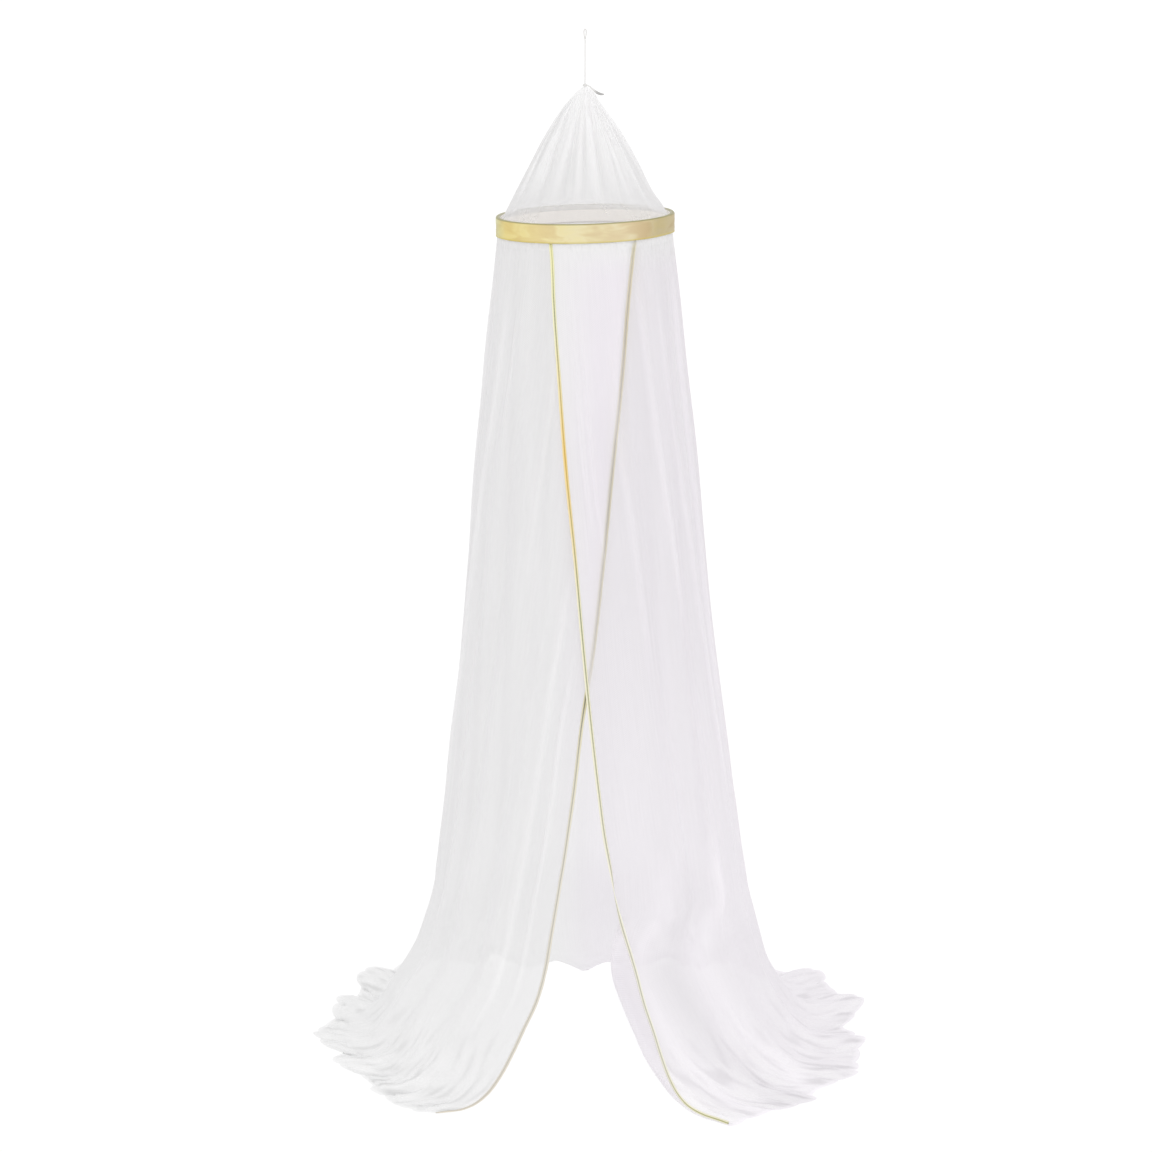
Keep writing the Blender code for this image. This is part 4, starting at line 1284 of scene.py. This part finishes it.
def floor_detail(on_hem, hem_total, to_hem):
    """The lobes and fine creases of the cloth on the floor: height and reach."""
    free = ease((min(on_hem, hem_total - on_hem) - BOUND_WIDTH) / 0.06) * smooth_back(on_hem, hem_total)
    drift = on_hem + 0.010 * noise.noise(Vector((on_hem * 8, to_hem * 6, 11)))
    roundness, reach, ridge = hem_lobe(drift)
    inward = between(HEM_RISE, 1.0, ease(to_hem / 0.07)) * ease(1 - to_hem / LOBE_LENGTH)
    fine_height = WRINKLE_DEPTH * max(floor_crease(on_hem, to_hem), -0.2)
    fine_height *= ease(1 - to_hem / CRUMPLE_REACH) * ease(to_hem / 0.03)
    near_hem = ease(1 - to_hem / 0.12)
    return (ridge * roundness * inward + fine_height) * free, reach * (roundness - 0.7) * near_hem * free


def wall_grid():
    """The fine grid: smooth main folds, then the details along the surface's own normals."""
    spacings = [FLOOR_SPACING if row[0] < 0.20 else WALL_SPACING for row in WALL_ROWS[1:]]
    rows = refine(wall_control_grid(), spacings)
    columns = refine(turned(rows), [FINE_COLUMNS] * (len(rows[0]) - 1))
    grid = turned(columns)
    normals = grid_normals(grid, closed=False)
    downs = turned([run_lengths(line) for line in columns])
    hem_runs = run_lengths(grid[-1])
    rest = HANG_HEIGHT - NET_THICK / 2
    for line, line_normals, line_downs in zip(grid, normals, downs):
        distances = run_lengths(line)
        for k, normal in enumerate(line_normals):
            height = line[k].z + HANG_HEIGHT
            moved = line[k] + normal * wall_detail(distances[k], distances[-1], line_downs[k], height)
            raised, reach = floor_detail(hem_runs[k], hem_runs[-1], downs[-1][k] - line_downs[k])
            outward = Vector((line[k].x, line[k].y, 0)).normalized()
            moved += outward * (reach + raised * max(normal.dot(outward), 0.0))
            moved.z += raised * max(normal.z, 0.0)
            moved.z = max(moved.z, -rest)
            line[k] = moved
    return grid


def wall_shares(grid):
    """The net lies doubled in its narrow floor hem and where its front edges lap. It is gathered close
    where it is sewn to the band, at its back and where it slumps on the floor. On the floor it is
    crumpled: thin and light on its ridges, crowded and shaded in its creases."""
    hem_width, sewn_drop = 0.012, 0.024
    slump_front, slump_back = 0.37, 0.31
    slump_fade_front, slump_fade_back = 0.06, 0.16
    turned_top, turned_width = 0.47, 0.095
    crumple_shade_reach = 0.42
    crease_depth, crease_limit = 0.12, 0.35
    upper_lap_foot, lower_right_top = 1.5, 1.2
    runs = [run_lengths(line) for line in grid]
    downs = [run_lengths(line) for line in turned(grid)]
    hem_runs = run_lengths(grid[-1])
    shares = []
    for j, line in enumerate(grid):
        lap = (line[-1] - line[0]).length if line[-1].x > line[0].x else 0.0
        line_shares = []
        for k, point in enumerate(line):
            height = point.z + HANG_HEIGHT
            to_hem = downs[k][-1] - downs[k][j]
            at_hem = 1 - ease((to_hem - hem_width * 0.6) / (hem_width * 0.6))
            at_band = ease(1 - downs[k][j] / sewn_drop)
            lapped = ease((lap - runs[j][k]) / 0.012) if lap else 0.0
            at_back = ease((point.y + 0.05) / 0.10)
            slump_top = between(slump_front, slump_back, at_back)
            slump = ease((slump_top - height) / between(slump_fade_front, slump_fade_back, at_back) + 0.5)
            turned_out = ease((turned_top - height) / 0.05) * ease((turned_width - runs[j][k]) / 0.03)
            crease = min(crease_height(runs[j][k], runs[j][-1], height) / FULL_RIDGE, 1.0)
            crumpled = ease(1 - to_hem / crumple_shade_reach) * ease(to_hem / 0.02)
            crumpled *= smooth_back(hem_runs[k], hem_runs[-1])
            crumple = floor_crease(hem_runs[k], to_hem)
            layers = 1.0 + at_hem + 1.5 * at_band + 0.9 * lapped + 0.4 * at_back
            layers += between(0.9, 0.9 - 0.6 * crumpled, at_back) * slump + 0.25 * abs(crease)
            layers *= 1 - 0.35 * turned_out
            layers *= 1 - 1.8 * crumpled * min(crumple, 0.25)
            # The white share is painted light and shade: whiter where the net lies doubled or gathered, on
            # crease ridges, at the front and low on the right, and painted shade, below 0, in the floor's
            # creases.
            white = 0.5 * at_hem + 0.6 * at_band + 0.7 * lapped + 0.45 * turned_out + 0.1 * (1 - at_back)
            white += 0.45 * crease + 0.25 * lapped * ease((height - upper_lap_foot) / 0.3)
            white += 0.2 * ease(point.x / 0.1) * ease((lower_right_top - height) / 0.5) * (1 - slump)
            white -= 2.3 * crumpled * min(max(-crumple - crease_depth, 0.0), crease_limit)
            line_shares.append((layers, min(white, 1.0)))
        shares.append(line_shares)
    return shares


wall_points = wall_grid()
wall = sheet_piece("wall_cloth", wall_points, wall_shares(wall_points), net, "wall_net")


# Edge bindings
# The same gold satin as a narrow ribbon, folded over each front edge of the wall and stitched down.
# It runs from under the band to the hem, and draws up a little along its stitches.
BINDING_FACE = 0.0009
BINDING_SKIN = 0.0005
STITCH_SHARE, STITCH_PITCH = 0.5, 0.0030
STITCH_CORE, STITCH_FADE = 0.15, 0.27
TONES_TOP = 2.0
# Tones down the ribbons: share of the height from the floor to the band, hex colour
FRONT_FACE = (
    (0.00, "#EDE9CF"), (0.10, "#EFEDE0"), (0.35, "#F1EEDA"), (0.60, "#F2EED2"), (0.69, "#F4E3B4"),
    (0.76, "#F6DC98"), (0.83, "#F6E8B8"), (0.90, "#F4F2CE"), (1.00, "#F6F3C4"),
)
# Tones of the row of stitches: dark olive, painted shade of the ribbon's fold.
FRONT_STITCH_SHADE = (
    (0.00, "#A9A864"), (0.06, "#BDBBA8"), (0.25, "#B4B2A0"), (0.45, "#A8A780"), (0.60, "#93966C"),
    (0.70, "#BCA864"), (0.77, "#CFA332"), (0.84, "#C2AF70"), (0.92, "#93956E"), (1.00, "#DAD692"),
)
REAR_FACE = (
    (0.00, "#E2DACA"), (0.30, "#E6E2D6"), (0.46, "#E6E0C4"), (0.55, "#DCD288"), (0.80, "#DCCF62"),
    (0.92, "#E6D23C"), (1.00, "#EED830"),
)
REAR_STITCH_SHADE = (
    (0.00, "#C2BEB6"), (0.08, "#C6C3BB"), (0.42, "#B4B1A2"), (0.50, "#6E6D5C"), (0.70, "#55554A"),
    (0.80, "#2E2F1C"), (0.92, "#40412A"), (1.00, "#8A8440"),
)


def binding_satin_material(name, face_stops, stitch_shade_stops):
    """The narrow ribbon: cream gold whose tone changes down its length, with a row of small stitches
    along its middle, painted dark olive as the shade of the ribbon's fold. The stops are (share of the
    height from the floor, hex colour)."""
    material, shader, coords = satin_shader(name, "#EFE7C8")
    parts = add_node(material, "ShaderNodeSeparateXYZ", {"Vector": coords.outputs["Object"]})
    height = add_node(
        material,
        "ShaderNodeMapRange",
        {0: parts.outputs["Z"], 1: -HANG_HEIGHT, 2: -HANG_HEIGHT + TONES_TOP},
    )
    face = add_node(material, "ShaderNodeValToRGB", {"Fac": height.outputs[0]}, face_stops)
    # Painted shade: the row of stitches down the ribbon's middle is darkened as the shade of its fold.
    stitch_shade = add_node(material, "ShaderNodeValToRGB", {"Fac": height.outputs[0]}, stitch_shade_stops)
    ribbon = add_node(material, "ShaderNodeUVMap", uv_map="ribbon")
    place_on_ribbon = add_node(material, "ShaderNodeSeparateXYZ", {"Vector": ribbon.outputs["UV"]})
    off_middle = add_node(
        material, "ShaderNodeMath", {0: place_on_ribbon.outputs["X"], 1: STITCH_SHARE}, operation="SUBTRACT"
    )
    off = add_node(material, "ShaderNodeMath", {0: off_middle.outputs[0]}, operation="ABSOLUTE")
    row = add_node(
        material, "ShaderNodeMapRange", {0: off.outputs[0], 1: STITCH_CORE, 2: STITCH_FADE, 3: 1.0, 4: 0.0}
    )
    wave = add_node(
        material,
        "ShaderNodeTexWave",
        {"Vector": ribbon.outputs["UV"], "Scale": WAVE_PITCH / STITCH_PITCH, "Distortion": 0.0},
        bands_direction="Y",
    )
    dashes = add_node(
        material, "ShaderNodeMapRange", {0: wave.outputs["Fac"], 1: 0.1, 2: 0.4, 3: 0.55, 4: 1.0}
    )
    stitch_shade_line = add_node(
        material, "ShaderNodeMath", {0: row.outputs[0], 1: dashes.outputs[0]}, operation="MULTIPLY"
    )
    sewn = add_node(
        material,
        "ShaderNodeMix",
        {0: stitch_shade_line.outputs[0], 6: face.outputs["Color"], 7: stitch_shade.outputs["Color"]},
        data_type="RGBA",
    )
    feed(material, sewn.outputs[2], shader, "Base Color")
    return material


def binding_piece(name, edge_points, inner_points, normals, material, replaced):
    """A folded strip: a closed section that wraps the net's edge, taken down the edge. Its UV map
    holds the share of the ribbon's width from the edge inwards, and the distance down it."""
    bm = bmesh.new()
    ribbon = bm.loops.layers.uv.new("ribbon")
    rings, shares = [], []
    run = run_lengths(edge_points)
    for point, inner, normal, distance in zip(edge_points, inner_points, normals, run):
        across = (inner - point).normalized()
        pucker = 0.00025 * math.sin(2 * math.pi * distance / STITCH_PITCH / 2)
        leg, outer, inside = BOUND_WIDTH, BINDING_FACE + pucker, BINDING_FACE - BINDING_SKIN
        face_steps = ((1.0, 0.85), (0.75, 1.0), (0.58, 0.95), (0.5, 0.62), (0.42, 0.95), (0.25, 1.05))
        section = [(leg * share, outer * out) for share, out in face_steps]
        for i in range(7):
            angle = math.pi * i / 6
            section.append((-0.0004 - outer * 0.9 * math.sin(angle), outer * math.cos(angle)))
        section += [(leg * share, -outer * out) for share, out in reversed(face_steps)]
        section += [(leg, -inside * 0.8), (0.0002, -inside), (0.0, 0.0), (0.0002, inside)]
        section.append((leg, inside * 0.8))
        rings.append([bm.verts.new(point + across * along + normal * out) for along, out in section])
        shares = [along / leg for along, _ in section]
    for i, (here, there) in enumerate(zip(rings, rings[1:])):
        for k in range(len(here)):
            m = (k + 1) % len(here)
            face = bm.faces.new((here[k], here[m], there[m], there[k]))
            top, foot = run[i], run[i + 1]
            corners = ((shares[k], top), (shares[m], top), (shares[m], foot), (shares[k], foot))
            for corner, uv in zip(face.loops, corners):
                corner[ribbon].uv = uv
    bm.faces.new(rings[0])
    bm.faces.new(rings[-1])
    return finish_piece(name, bm, material, replaced)


def edge_lines(grid, last):
    """The edge, a line a binding's width in from it, and the net's normals there, below the band."""
    edge, inner, normals = [], [], []
    surface_normals = grid_normals(grid, closed=False)
    for line, line_normals in zip(grid, surface_normals):
        points = line[::-1] if last else line
        point_normals = line_normals[::-1] if last else line_normals
        if points[0].z + HANG_HEIGHT > BAND_TOP - BAND_HEIGHT + 0.002 + lean(points[0].x):
            continue
        edge.append(points[0])
        inner.append(points[1])
        normals.append(point_normals[0])
    return edge, inner, normals


front_satin = binding_satin_material("Satin binding, cream gold", FRONT_FACE, FRONT_STITCH_SHADE)
rear_satin = binding_satin_material("Satin binding, cream", REAR_FACE, REAR_STITCH_SHADE)
front_binding = binding_piece("front_ribbon", *edge_lines(wall_points, False), front_satin, "front_binding")
rear_binding = binding_piece("rear_ribbon", *edge_lines(wall_points, True), rear_satin, "rear_binding")


# Studio
# White floor lit from inside, such as a light table, under a large soft sky of light that is weakest
# on the front's side, so that folds and margins gleam against the wall's face. One mild, broad key
# light comes from the front right.
FLOOR_RADIUS = 160.0
FLOOR_GLOW = 0.95
SKY_MEAN = 0.97
SKY_RISE = (0.04, 0.10, 0.06)
KEY_AZIMUTH, KEY_ELEVATION, KEY_SPREAD = 20, 45, 15
KEY_STRENGTH = 0.22


def studio_floor():
    bm = bmesh.new()
    bmesh.ops.create_circle(bm, cap_ends=True, segments=96, radius=FLOOR_RADIUS)
    mesh = bpy.data.meshes.new("studio_floor")
    bm.to_mesh(mesh)
    bm.free()
    material, shader = new_material("Light table, white", "#4C4C4C", 0.9)
    shader.inputs["Specular IOR Level"].default_value = 0.1
    shader.inputs["Emission Color"].default_value = (1.0, 1.0, 1.0, 1.0)
    shader.inputs["Emission Strength"].default_value = FLOOR_GLOW
    mesh.materials.append(material)
    floor = bpy.data.objects.new("studio_floor", mesh)
    floor.location.z = -HANG_HEIGHT
    bpy.context.scene.collection.objects.link(floor)


def add_sun(name, azimuth, elevation, strength, spread_deg, hex_colour):
    """A large soft light far away. Azimuth 0 shines along +Y and 90 along -X."""
    light = bpy.data.lights.new(name, "SUN")
    light.energy = strength
    light.angle = math.radians(spread_deg)
    light.color = linear(hex_colour)[:3]
    sun = bpy.data.objects.new(name, light)
    a, e = math.radians(azimuth), math.radians(elevation)
    towards = Vector((-math.sin(a) * math.cos(e), math.cos(a) * math.cos(e), -math.sin(e)))
    sun.rotation_euler = towards.to_track_quat("-Z", "Y").to_euler()
    bpy.context.scene.collection.objects.link(sun)


def soft_sky():
    """Light from all round whose strength changes evenly with its direction, faintly lilac at the
    right."""
    world = bpy.data.worlds.new("studio")
    world.use_nodes = True
    background = world.node_tree.nodes["Background"]
    coords = add_node(world, "ShaderNodeTexCoord")
    rise = add_node(
        world, "ShaderNodeVectorMath", {0: coords.outputs["Generated"], 1: SKY_RISE}, operation="DOT_PRODUCT"
    )
    strength = add_node(world, "ShaderNodeMath", {0: rise.outputs["Value"], 1: SKY_MEAN}, operation="ADD")
    parts = add_node(world, "ShaderNodeSeparateXYZ", {"Vector": coords.outputs["Generated"]})
    side = add_node(world, "ShaderNodeMapRange", {0: parts.outputs["X"], 1: -0.4, 2: 1.0})
    tint = add_node(
        world,
        "ShaderNodeMix",
        {0: side.outputs[0], 6: linear("#FFFFFF"), 7: linear("#FFFDFF")},
        data_type="RGBA",
    )
    world.node_tree.links.new(tint.outputs[2], background.inputs["Color"])
    world.node_tree.links.new(strength.outputs[0], background.inputs["Strength"])
    bpy.context.scene.world = world


studio_floor()
soft_sky()
add_sun("key_light", KEY_AZIMUTH, KEY_ELEVATION, KEY_STRENGTH, KEY_SPREAD, "#FFFEFA")
bpy.context.scene.view_settings.view_transform = "Standard"
bpy.context.scene.cycles.transparent_max_bounces = 24


# Camera
# The photograph is taken from 5.4 m in front, a little above the canopy's top, with a lens that
# looks down by 15 degrees.
CAMERA_PLACE = (-0.020, -5.400, 0.206)
CAMERA_PITCH_DEG = 15.08
LENS_MM, SENSOR_MM = 74.75, 36.0

camera_data = bpy.data.cameras.new("camera")
camera_data.lens = LENS_MM
camera_data.sensor_width = SENSOR_MM
camera = bpy.data.objects.new("camera", camera_data)
camera.location = CAMERA_PLACE
camera.rotation_euler = (math.radians(90 - CAMERA_PITCH_DEG), 0, 0)
bpy.context.scene.collection.objects.link(camera)
bpy.context.scene.camera = camera
